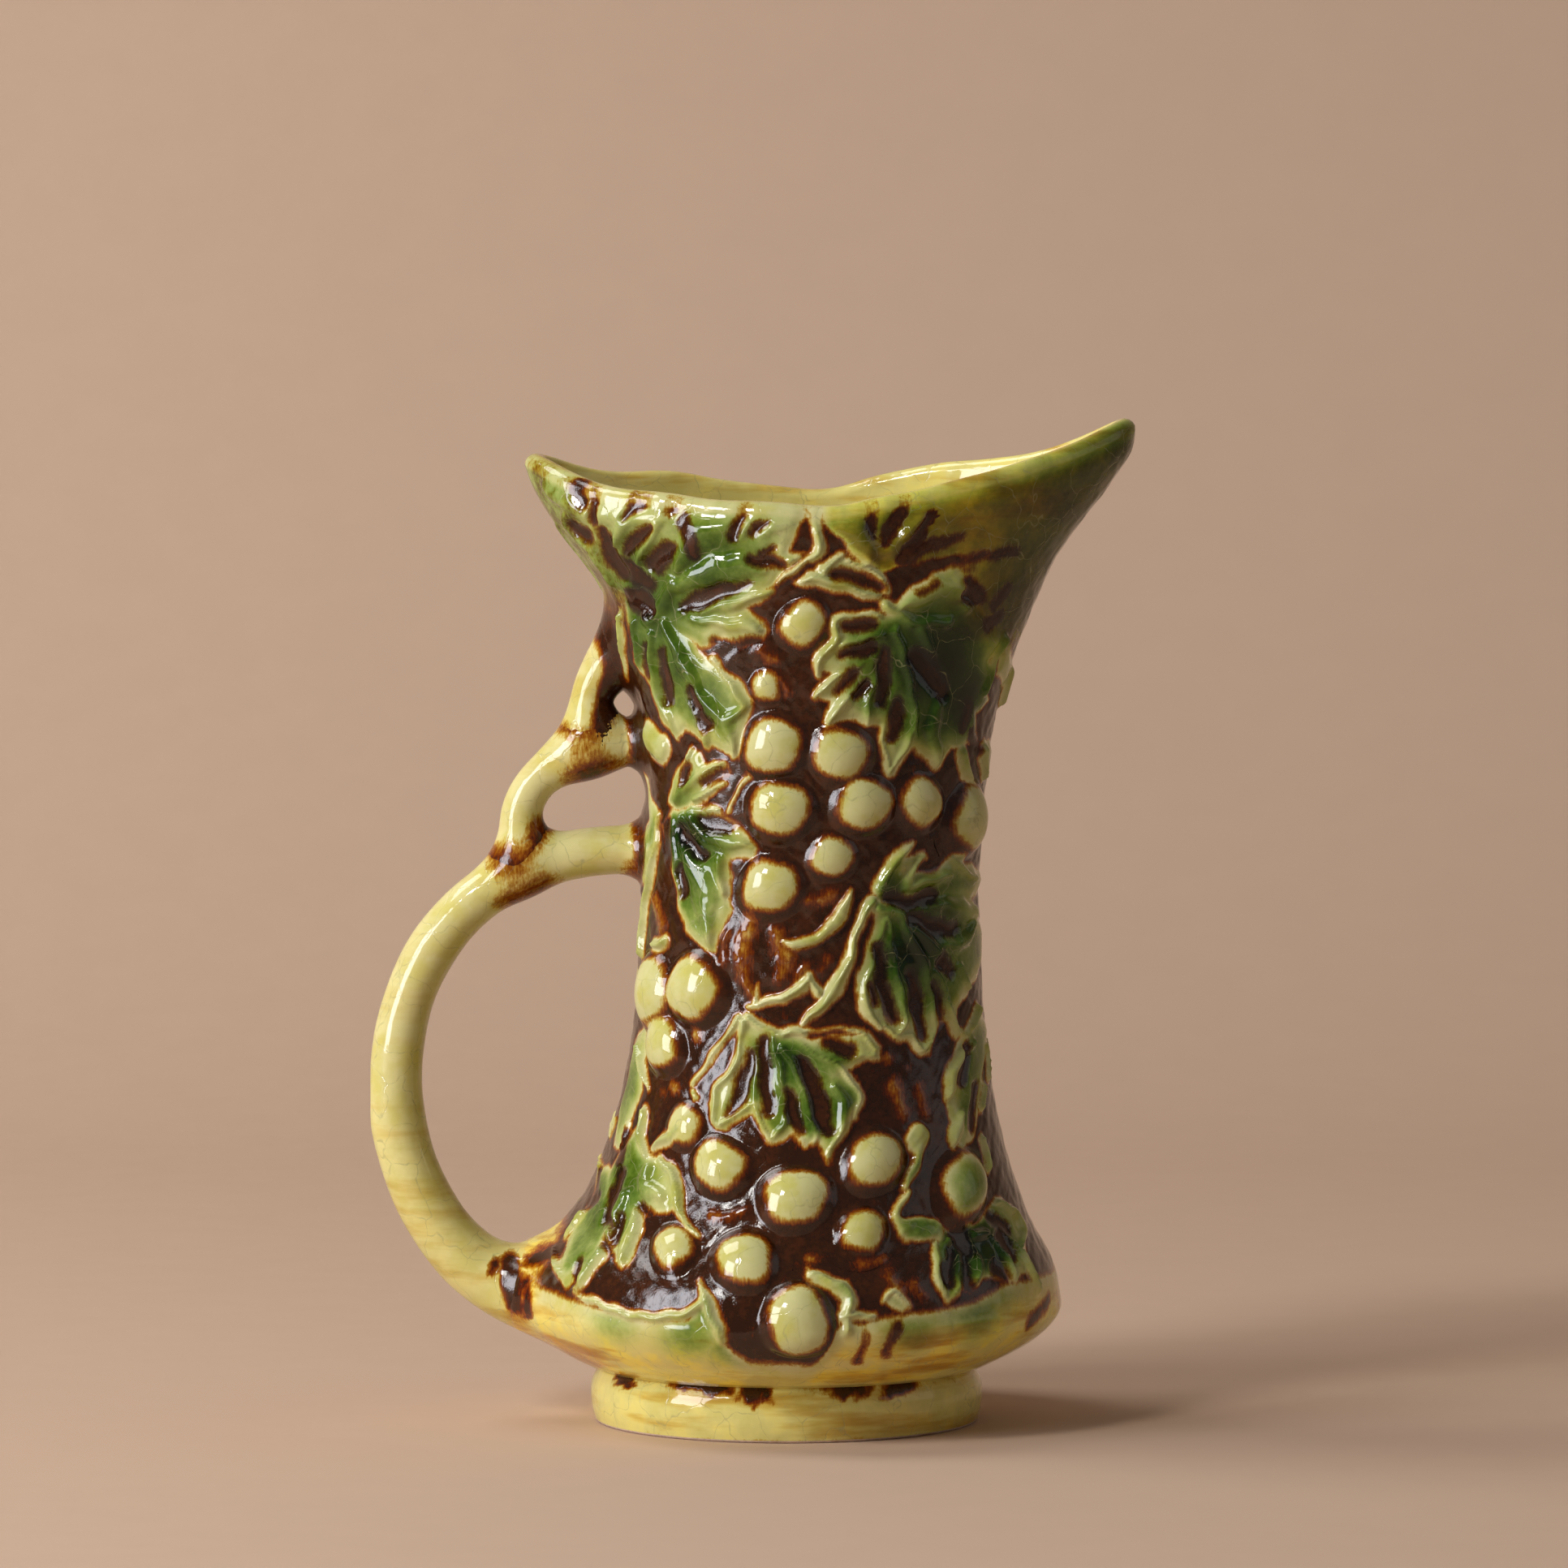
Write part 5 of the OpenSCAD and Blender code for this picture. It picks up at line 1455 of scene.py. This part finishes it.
class PITCHER_OT_throw_wall(bpy.types.Operator):
    """Throw the pitcher's wall, with its mouth, spout and inside"""
    bl_idname = "pitcher.throw_wall"
    bl_label = "Throw wall"

    def execute(self, context):
        relief = pitcher_relief()
        wall = relief.wall
        turns = np.linspace(-math.pi, math.pi, WALL_COLUMNS + 1)
        rings, fulls, glazes = [], [], []

        def plain(brown, yellow):
            """One ring's glaze where there is no relief."""
            return np.tile([brown, 0.0, yellow, 0.0], (len(turns), 1))

        def add(ring, glaze, full=None):
            """One more ring of places, with the relief's own places where they differ."""
            rings.append(ring)
            fulls.append(ring if full is None else full)
            glazes.append(glaze)

        rim = wall.rim(turns)
        low = wall.point(turns, np.full_like(turns, wall.base_z))
        centre = np.array([wall.section(np.array(wall.base_z))[0], 0, wall.base_z])
        add(np.tile(centre, (len(turns), 1)), plain(*BASE_GLAZE))
        add(centre + (low - centre) * BASE_RING, plain(*EDGE_GLAZE))
        for k in range(OUTER_ROWS + 1):
            z = wall.base_z + (rim - wall.lip - wall.base_z) * k / OUTER_ROWS
            where, full, glaze = laid(relief, None, turns, z)[:3]
            add(where, glaze, full)
        top_glaze = glazes[-1]
        top = rings[-1]
        inner = wall.point(turns, rim - wall.lip, wall.wall_t)
        for k in range(1, LIP_ROWS):
            f = math.pi * k / LIP_ROWS
            ring = (top + inner) / 2 + (top - inner) / 2 * math.cos(f)
            ring[:, 2] = rim - wall.lip + wall.lip * math.sin(f)
            blend = ease(0.25, 0.7, k / LIP_ROWS)
            add(ring, top_glaze * (1 - blend) + plain(*LIP_GLAZE) * blend)
        for k in range(INNER_ROWS + 1):
            z = (rim - wall.lip) + (WELL_Z - rim + wall.lip) * k / INNER_ROWS
            add(wall.point(turns, z, wall.wall_t), plain(*(INSIDE_GLAZE if k else MOUTH_GLAZE)))
        edge = wall.point(turns, np.full_like(turns, WELL_Z), wall.wall_t)
        turn_r = WELL_Z - wall.floor_z
        core = wall.point(turns, np.full_like(turns, WELL_Z), wall.wall_t + turn_r)
        for k in range(1, WELL_ROWS + 1):
            f = math.pi / 2 * k / WELL_ROWS
            ring = core + (edge - core) * math.cos(f)
            ring[:, 2] = WELL_Z - turn_r * math.sin(f)
            add(ring, plain(*WELL_GLAZE))
        end = np.array([wall.section(np.array(WELL_Z))[0], 0, wall.floor_z])
        add(np.tile(end, (len(turns), 1)), plain(*WELL_GLAZE))

        sheet = np.array(fulls)
        lapped = np.concatenate([sheet[:, -LAP - 1:-1], sheet, sheet[:, 1:LAP + 1]], 1)
        directions = facing(lapped)[:, LAP:-LAP]
        directions[0], directions[-1] = (0, 0, -1), (0, 0, 1)
        piece, column, row = new_sheet("pitcher_wall", WALL_COLUMNS, len(rings) - 1)
        shape(piece, np.array(rings)[row, column])
        paint(piece, np.array(glazes)[row, column])
        keep_facing(piece, directions[row, column])
        close_up(piece)
        set_in(piece, "vessel_wall", glaze_material())
        face_as_kept(piece)
        return {"FINISHED"}


# Foot

FOOT_COLUMNS, FOOT_ROWS = 192, 24
FOOT_RING_WIDTH = 8.0
FOOT_EDGE = 1.0
FOOT_GREEN, FOOT_YELLOW = 0.02, 0.5
# the clay is bare below this share of the foot's rounded edge
BARE_SHARE = 0.65
# pixel of each dash's middle, half its width in pixels, and how far it hangs below the foot's top edge
FOOT_DASHES = [
    (771, 10, 2.2), (852, 18, 1.5), (884, 16, 2.0), (931, 17, 3.4), (1046, 20, 2.4), (1106, 17, 2.8),
]


class PITCHER_OT_turn_foot(bpy.types.Operator):
    """Turn the foot ring, glazed outside and bare underneath"""
    bl_idname = "pitcher.turn_foot"
    bl_label = "Turn foot"

    def execute(self, context):
        wall = pitcher_relief().wall
        half = wall.foot_h / 2
        outer = []
        for k in range(FOOT_ROWS + 1):
            z = FOOT_EDGE + (wall.foot_h - FOOT_EDGE) * k / FOOT_ROWS
            r = wall.foot_r - FOOT_BULGE + math.sqrt(FOOT_BULGE**2 - (z - half)**2)
            outer.append((r, z))
        inner_r = wall.foot_top_r - FOOT_RING_WIDTH
        turn = [(outer[0][0] - FOOT_EDGE * (1 - math.cos(f)), FOOT_EDGE * (1 - math.sin(f)))
                for f in (math.radians(d) for d in (90, 67.5, 45, 22.5))]
        inner = [(inner_r, wall.foot_h), (inner_r, FOOT_EDGE),
                 (inner_r + FOOT_EDGE * 0.3, FOOT_EDGE * 0.3), (inner_r + FOOT_EDGE, 0)]
        profile = inner + turn + outer + inner[:1]
        turns = np.linspace(-math.pi, math.pi, FOOT_COLUMNS + 1)
        piece, column, row = new_sheet("pitcher_foot", FOOT_COLUMNS, len(profile) - 1)
        rows = np.array(profile)
        a, r, z = turns[column], rows[row, 0], rows[row, 1]
        outside, up = r > wall.foot_top_r - 1, z / wall.foot_h
        wavy = np.abs(0.16 * np.sin(3 * a + 0.7) + 0.1 * np.sin(7 * a + 2.1)) * ease(0.05, 0.4, up)
        crease = ease(0.66, 0.97, up) * outside
        r = r - crease * 0.5 - wavy * outside
        shape(piece, np.stack([r * np.cos(a), r * np.sin(a), z], -1))
        brown = -2.0 + 0.8 * crease + 0.8 * (1 - ease(0.4, 2.0, z)) * outside
        seen_x = MID_PIXEL + (r * np.cos(a) - EYE[0]) / PIXEL
        for middle, half_width, hang in FOOT_DASHES:
            far = (((seen_x - middle) / half_width)**4 + ((wall.foot_h - z) / hang)**4)**0.25
            far = far + 0.2 * np.sin(1.1 * seen_x) + 0.15 * np.sin(0.43 * seen_x + 1.7 * z)
            brown = np.maximum(brown, (1 - far) * 3.0 * outside - 4 * ~outside)
        paint(piece, np.stack([brown, FOOT_GREEN + 0 * z, FOOT_YELLOW + 0 * z, 0 * z], -1))
        close_up(piece)
        set_in(piece, "foot_ring", glaze_material())
        piece.data.materials.append(made_once("bare_clay", make_clay))
        for face in piece.data.polygons:
            if face.center.z < FOOT_EDGE * BARE_SHARE * MM:
                face.material_index = 1
        return {"FINISHED"}


# Handle

TUBE_SIDES = 40
# how small a tube's two end rings are drawn in
TUBE_END = 0.02
# brown in the crook of the top arch and of the other strands
TOP_WEB, WEB = 5.2, 3.2


def pull_strand(name, wall, strand, others):
    """One strand of the handle: an oval tube that runs smoothly into what it meets."""
    rows = len(strand.at) - 1
    along = np.gradient(strand.line, axis=0)
    along /= np.linalg.norm(along, axis=1, keepdims=True)
    lumps = 0.975 + 0.015 * np.sin(strand.at / 7.0) + 0.01 * np.sin(strand.at / 3.1 + 1)
    piece, column, row = new_sheet(name, TUBE_SIDES, rows)
    f = column / TUBE_SIDES * 2 * math.pi
    t = along[row]
    across = np.stack([t[:, 2], 0 * f, -t[:, 0]], -1)
    offset = across * (strand.wide * np.cos(f))[:, None]
    offset = offset + np.array([0, 1, 0]) * (strand.deep * np.sin(f))[:, None]
    ends = np.where((row == 0) | (row == rows), TUBE_END, 1.0)
    offset *= (ends * (strand.size * lumps)[row])[:, None]
    places = strand.line[row] + offset
    z = places[:, 2]
    out = offset / np.maximum(np.linalg.norm(offset, axis=1), 1)[:, None]
    neighbours = [(wall.outside, strand.blend_at(z))] + [
        (other.gap, np.maximum(strand.blend_at(z), other.blend_at(z))) for other in others]
    spread = np.zeros(len(places))
    for outside, blend in neighbours:
        drawn = np.zeros(len(places))
        for _ in range(JOIN_STEPS):
            gap = outside(places + out * drawn[:, None])
            drawn = np.clip(drawn - joined(drawn, gap, blend), 0, blend / 3)
        spread = np.maximum(spread, drawn)
    places = places + out * spread[:, None]
    shape(piece, places)
    gap = np.minimum.reduce([outside(places) for outside, _ in neighbours])
    at_wall = 1 - ease(0.25, 0.6, wall.outside(places) / neighbours[0][1])
    inner = ease(-0.3, 0.7, -np.cos(f))
    root = at_root(z)
    web = TOP_WEB if strand.blend == TOP_BLEND else WEB
    brown = np.maximum(-1.9, inner * (1 - root) * (web - 0.34 * gap) - 2.3)
    brown = np.maximum(brown, 0.8 - 0.6 * gap - 3.0 * root)
    brown = brown * (1 - at_wall) + join_brown(z) * at_wall
    brown = np.minimum(np.maximum(brown, root_stain(places)), 2.0)
    yellow = np.maximum(0.12 + 0.2 * (1 - ease(45, 95, z)), at_wall * root)
    paint(piece, np.stack([brown, 0 * gap, yellow, 0 * gap], -1))
    close_up(piece)
    return piece


class PITCHER_OT_pull_handle(bpy.types.Operator):
    """Pull the handle's loop and the two arches above it"""
    bl_idname = "pitcher.pull_handle"
    bl_label = "Pull handle"

    def execute(self, context):
        relief = pitcher_relief()
        for node, strand in relief.strands.items():
            others = [other for key, other in relief.strands.items() if key != node]
            piece = pull_strand("pitcher_" + node, relief.wall, strand, others)
            set_in(piece, node, glaze_material())
        return {"FINISHED"}


# Sprigs

SPRIG_STEP = 0.55
SPRIG_T = 1.4
MARGIN = 4.0
# the wall's least and usual radius, for a sheet's width and its columns
LEAST_R, USUAL_R = 28, 46
FEWEST_FACES = 8
# how far a sheet stays above the foot and below the rim
FOOT_CLEAR, RIM_CLEAR = 3, 0.2
# how far outside the ground's reach, and inside another sprig, a sheet's faces still run
OUT_RUN, UNDER_RUN = 1.2, 1.5
CORNER_PASSES = 4
FAR_TURN = (1, -1, 1)


def set_pair(piece, name, tops=None):
    """Puts a finished sprig on the front of the pitcher and its copy on the back."""
    set_in(piece, "front_" + name, glaze_material())
    back = far_copy(piece, "pitcher_back_" + name)
    set_in(back, "back_" + name, glaze_material())
    face_as_kept(piece, back_from=tops)
    face_as_kept(back, FAR_TURN, back_from=tops)


def lay_sprig(relief, name, strokes):
    """A leaf or stem laid on the wall, front and back."""
    wall = relief.wall
    rows = np.array([p for stroke in strokes for p in stroke])
    a, z = wall.roll(rows[:, 0], rows[:, 1])
    edge = rows[:, 2] + MARGIN
    low_a, high_a = max(np.min(a - edge / LEAST_R), -math.pi), min(np.max(a + edge / LEAST_R), 0.0)
    low_z, high_z = max(np.min(z - edge), wall.foot_h + FOOT_CLEAR), np.max(z + edge)
    columns = max(FEWEST_FACES, int((high_a - low_a) * USUAL_R / SPRIG_STEP))
    lines = max(FEWEST_FACES, int((high_z - low_z) / SPRIG_STEP))
    piece, column, row = new_sheet("pitcher_front_" + name, columns, lines)
    a = low_a + (high_a - low_a) * column / columns
    level, top = low_z + (high_z - low_z) * row / lines, wall.rim(a) - wall.lip
    z = np.minimum(level, top - RIM_CLEAR)
    where, full, glaze, own, lost = laid(relief, name, a, z)
    sheet = np.empty((lines + 1, columns + 1, 3))
    sheet[row, column] = full
    shape(piece, where)
    paint(piece, glaze)
    keep_facing(piece, facing(sheet)[row, column])
    keep = np.zeros((lines + 1, columns + 1), bool)
    keep[row, column] = (own > GROUND_REACH - OUT_RUN) & (lost < UNDER_RUN) & (level < top)
    faces = keep[:-1, :-1] & keep[1:, :-1] & keep[:-1, 1:] & keep[1:, 1:]
    # faces that meet only at a corner get their two neighbours
    for _ in range(CORNER_PASSES):
        sw, se, nw, ne = faces[:-1, :-1], faces[:-1, 1:], faces[1:, :-1], faces[1:, 1:]
        corner = (sw & ne & ~se & ~nw) | (se & nw & ~sw & ~ne)
        for part in (sw, se, nw, ne):
            part |= corner
    corners = np.empty(len(piece.data.loops), int)
    piece.data.loops.foreach_get("vertex_index", corners)
    corners = corners.reshape(-1, 4)
    drop = ~faces[row[corners].min(1), column[corners].min(1)]
    drop_faces(piece, drop)
    tops = len(piece.data.vertices)
    thicken(piece, SPRIG_T)
    set_pair(piece, name, tops)


class PITCHER_OT_lay_leaves(bpy.types.Operator):
    """Lay the vine leaves on the wall, front and back"""
    bl_idname = "pitcher.lay_leaves"
    bl_label = "Lay leaves"

    def execute(self, context):
        relief = pitcher_relief()
        for name, strokes in relief.leaves.items():
            lay_sprig(relief, name, strokes)
        return {"FINISHED"}


class PITCHER_OT_lay_stems(bpy.types.Operator):
    """Lay the stems and tendrils on the wall, front and back"""
    bl_idname = "pitcher.lay_stems"
    bl_label = "Lay stems"

    def execute(self, context):
        relief = pitcher_relief()
        for name, strokes in relief.stems.items():
            lay_sprig(relief, name, strokes)
        return {"FINISHED"}


BERRY_SEGMENTS, BERRY_RINGS = 40, 34
BERRY_SKIRT = 2.4
# share of the ball, from its top, that is dome and skirt, and the dome's share of that
SHOWN, DOME = 0.84, 0.72
# how far to each side a berry's slope is measured
SLOPE = 0.2


def press_berry(relief, key, u, v, r):
    """One berry: its dome, a skirt that runs out under the ground, and its foot in the wall."""
    wall, spread = relief.wall, r * BERRY_SPREAD
    clear_selection()
    bpy.ops.mesh.primitive_uv_sphere_add(segments=BERRY_SEGMENTS, ring_count=BERRY_RINGS, radius=1)
    piece = bpy.context.active_object
    ball = read_places(piece)
    down = np.arccos(np.clip(ball[:, 2], -1, 1)) / math.pi
    turn = np.arctan2(ball[:, 1], ball[:, 0])
    top = np.clip(down / SHOWN, 0, 1)
    gap = np.where(top < DOME, spread * np.sin(top / DOME * QUARTER),
                   spread + BERRY_SKIRT * (top - DOME) / (1 - DOME))
    gap = np.where(down > SHOWN, (spread + BERRY_SKIRT) * (1 - down) / (1 - SHOWN), gap)
    flat_u, flat_v = u + gap * np.cos(turn), v + gap * np.sin(turn)
    a, z = wall.roll(flat_u, flat_v)
    where, _, glaze = laid(relief, key, a, z)[:3]
    side = [laid(relief, key, *wall.roll(flat_u + du, flat_v + dv))[1]
            for du, dv in ((SLOPE, 0), (-SLOPE, 0), (0, SLOPE), (0, -SLOPE))]
    out = np.cross(side[0] - side[1], side[2] - side[3])
    out /= np.linalg.norm(out, axis=1, keepdims=True)
    base = wall.point(a, z) - wall.normal(a, z) * SPRIG_T
    under = ease(SHOWN, SHOWN + 0.02, down)[:, None]
    shape(piece, where * (1 - under) + base * under)
    paint(piece, glaze)
    keep_facing(piece, out * (1 - 2 * under))
    return piece


class PITCHER_OT_press_berries(bpy.types.Operator):
    """Press the berries on the wall, front and back"""
    bl_idname = "pitcher.press_berries"
    bl_label = "Press berries"

    def execute(self, context):
        relief = pitcher_relief()
        for name, rows in relief.berries.items():
            pick(*[press_berry(relief, f"{name}.{k}", *row) for k, row in enumerate(rows)])
            bpy.ops.object.join()
            bunch = bpy.context.active_object
            bunch.name = bunch.data.name = "pitcher_front_" + name
            bpy.ops.object.shade_smooth()
            set_pair(bunch, name)
        return {"FINISHED"}


# Stage

BACKDROP, BACKDROP_HEIGHT = 1.1, 3
FLOOR_SIZE = 6.0
SWEEP_SEGMENTS = 16
ROOM_LIGHT, ROOM_COLOUR = 0.12, (1.0, 0.97, 0.94, 1)
FAR_CLIP = 50
LAMPS = [
    # name, place, aim height, size across and up, power, colour
    ("window_lamp", (-1.1, -1.2, 1.4), 0.12, (0.36, 0.36), 14.0, (1.0, 0.98, 0.95)),
    ("side_lamp", (-1.35, -0.8, 0.55), 0.1, (0.62, 0.9), 20.0, (0.93, 0.94, 1.0)),
    ("backdrop_lamp", (-1.15, 0.3, 1.7), 0.3, (0.9, 0.9), 16.0, (1.0, 0.98, 0.96)),
    ("fill_lamp", (2.2, -0.3, 1.0), 0.08, (1.6, 1.6), 2.6, (1.0, 0.95, 0.88)),
]


def choose_edges(piece, wanted):
    """Selects the edges whose ends are both wanted, and stays in edit mode."""
    bpy.ops.object.mode_set(mode="EDIT")
    bpy.context.tool_settings.mesh_select_mode = (False, True, False)
    bpy.ops.mesh.select_all(action="DESELECT")
    bpy.ops.object.mode_set(mode="OBJECT")
    for edge in piece.data.edges:
        edge.select = all(wanted(piece.data.vertices[i].co) for i in edge.vertices)
    bpy.ops.object.mode_set(mode="EDIT")


def turned_to(direction):
    """Turn of a lamp or camera that looks along a direction."""
    return Vector(direction).to_track_quat("-Z", "Y").to_euler()


class PITCHER_OT_set_stage(bpy.types.Operator):
    """Set the floor, the lamps and the camera"""
    bl_idname = "pitcher.set_stage"
    bl_label = "Set stage"

    def execute(self, context):
        scene = context.scene
        clear_selection()
        bpy.ops.mesh.primitive_plane_add(size=FLOOR_SIZE, location=(0, BACKDROP - FLOOR_SIZE / 2, 0))
        bpy.ops.object.transform_apply(location=True)
        floor = bpy.context.active_object
        floor.name = floor.data.name = "stage_floor"
        choose_edges(floor, lambda p: p.y > BACKDROP / 2)
        bpy.ops.mesh.extrude_region_move(TRANSFORM_OT_translate={"value": (0, 0, BACKDROP_HEIGHT)})
        choose_edges(floor, lambda p: p.y > BACKDROP / 2 and p.z < BACKDROP_HEIGHT / 2)
        bpy.ops.mesh.bevel(offset=BACKDROP / 2, segments=SWEEP_SEGMENTS)
        bpy.ops.object.mode_set(mode="OBJECT")
        bpy.ops.object.shade_smooth()
        floor.data.materials.append(make_floor("stage_floor", scene.pitcher_glazes))

        for name, place, aim, size, power, colour in LAMPS:
            clear_selection()
            bpy.ops.object.light_add(type="AREA", location=place)
            lamp = bpy.context.active_object
            lamp.name = lamp.data.name = name
            lamp.data.shape = "RECTANGLE"
            lamp.data.size, lamp.data.size_y = size
            lamp.data.energy = power
            lamp.data.color = colour
            lamp.rotation_euler = turned_to(Vector((0, 0, aim)) - Vector(place))

        world = bpy.data.worlds.new("studio")
        world.use_nodes = True
        room = world.node_tree.nodes["Background"]
        room.inputs[0].default_value, room.inputs[1].default_value = ROOM_COLOUR, ROOM_LIGHT
        scene.world = world

        forward, _, _, focal = view_axes()
        clear_selection()
        bpy.ops.object.camera_add(location=tuple(EYE * MM))
        camera = bpy.context.active_object
        camera.name = camera.data.name = "photo_camera"
        camera.rotation_euler = turned_to(forward)
        camera.data.sensor_width = SENSOR
        camera.data.lens = focal / IMAGE_SIZE * SENSOR
        camera.data.clip_end = FAR_CLIP
        scene.camera = camera
        scene.view_settings.view_transform = "Standard"
        return {"FINISHED"}


class PITCHER_PT_panel(bpy.types.Panel):
    """The pitcher's steps and sizes"""
    bl_idname = "PITCHER_PT_panel"
    bl_label = "Pitcher"
    bl_space_type = "VIEW_3D"
    bl_region_type = "UI"
    bl_category = "Pitcher"

    def draw(self, context):
        for step in STEPS:
            self.layout.operator(step.bl_idname)
        for group in (context.scene.pitcher_sizes, context.scene.pitcher_glazes):
            for key in group.__annotations__:
                self.layout.prop(group, key)


STEPS = [PITCHER_OT_set_stage, PITCHER_OT_throw_wall, PITCHER_OT_turn_foot, PITCHER_OT_pull_handle,
         PITCHER_OT_lay_leaves, PITCHER_OT_lay_stems, PITCHER_OT_press_berries]
CLASSES = [PitcherSizes, PitcherGlazes, *STEPS, PITCHER_PT_panel]


def register():
    """Adds the pitcher's classes and properties."""
    for kind in CLASSES:
        bpy.utils.register_class(kind)
    bpy.types.Scene.pitcher_sizes = bpy.props.PointerProperty(type=PitcherSizes)
    bpy.types.Scene.pitcher_glazes = bpy.props.PointerProperty(type=PitcherGlazes)


def unregister():
    """Takes the pitcher's classes and properties out."""
    del bpy.types.Scene.pitcher_sizes
    del bpy.types.Scene.pitcher_glazes
    for kind in reversed(CLASSES):
        bpy.utils.unregister_class(kind)


def main():
    """Models the pitcher on its stage."""
    register()
    bpy.ops.pitcher.set_stage()
    bpy.ops.pitcher.throw_wall()
    bpy.ops.pitcher.turn_foot()
    bpy.ops.pitcher.pull_handle()
    bpy.ops.pitcher.lay_leaves()
    bpy.ops.pitcher.lay_stems()
    bpy.ops.pitcher.press_berries()


if __name__ == "__main__":
    main()
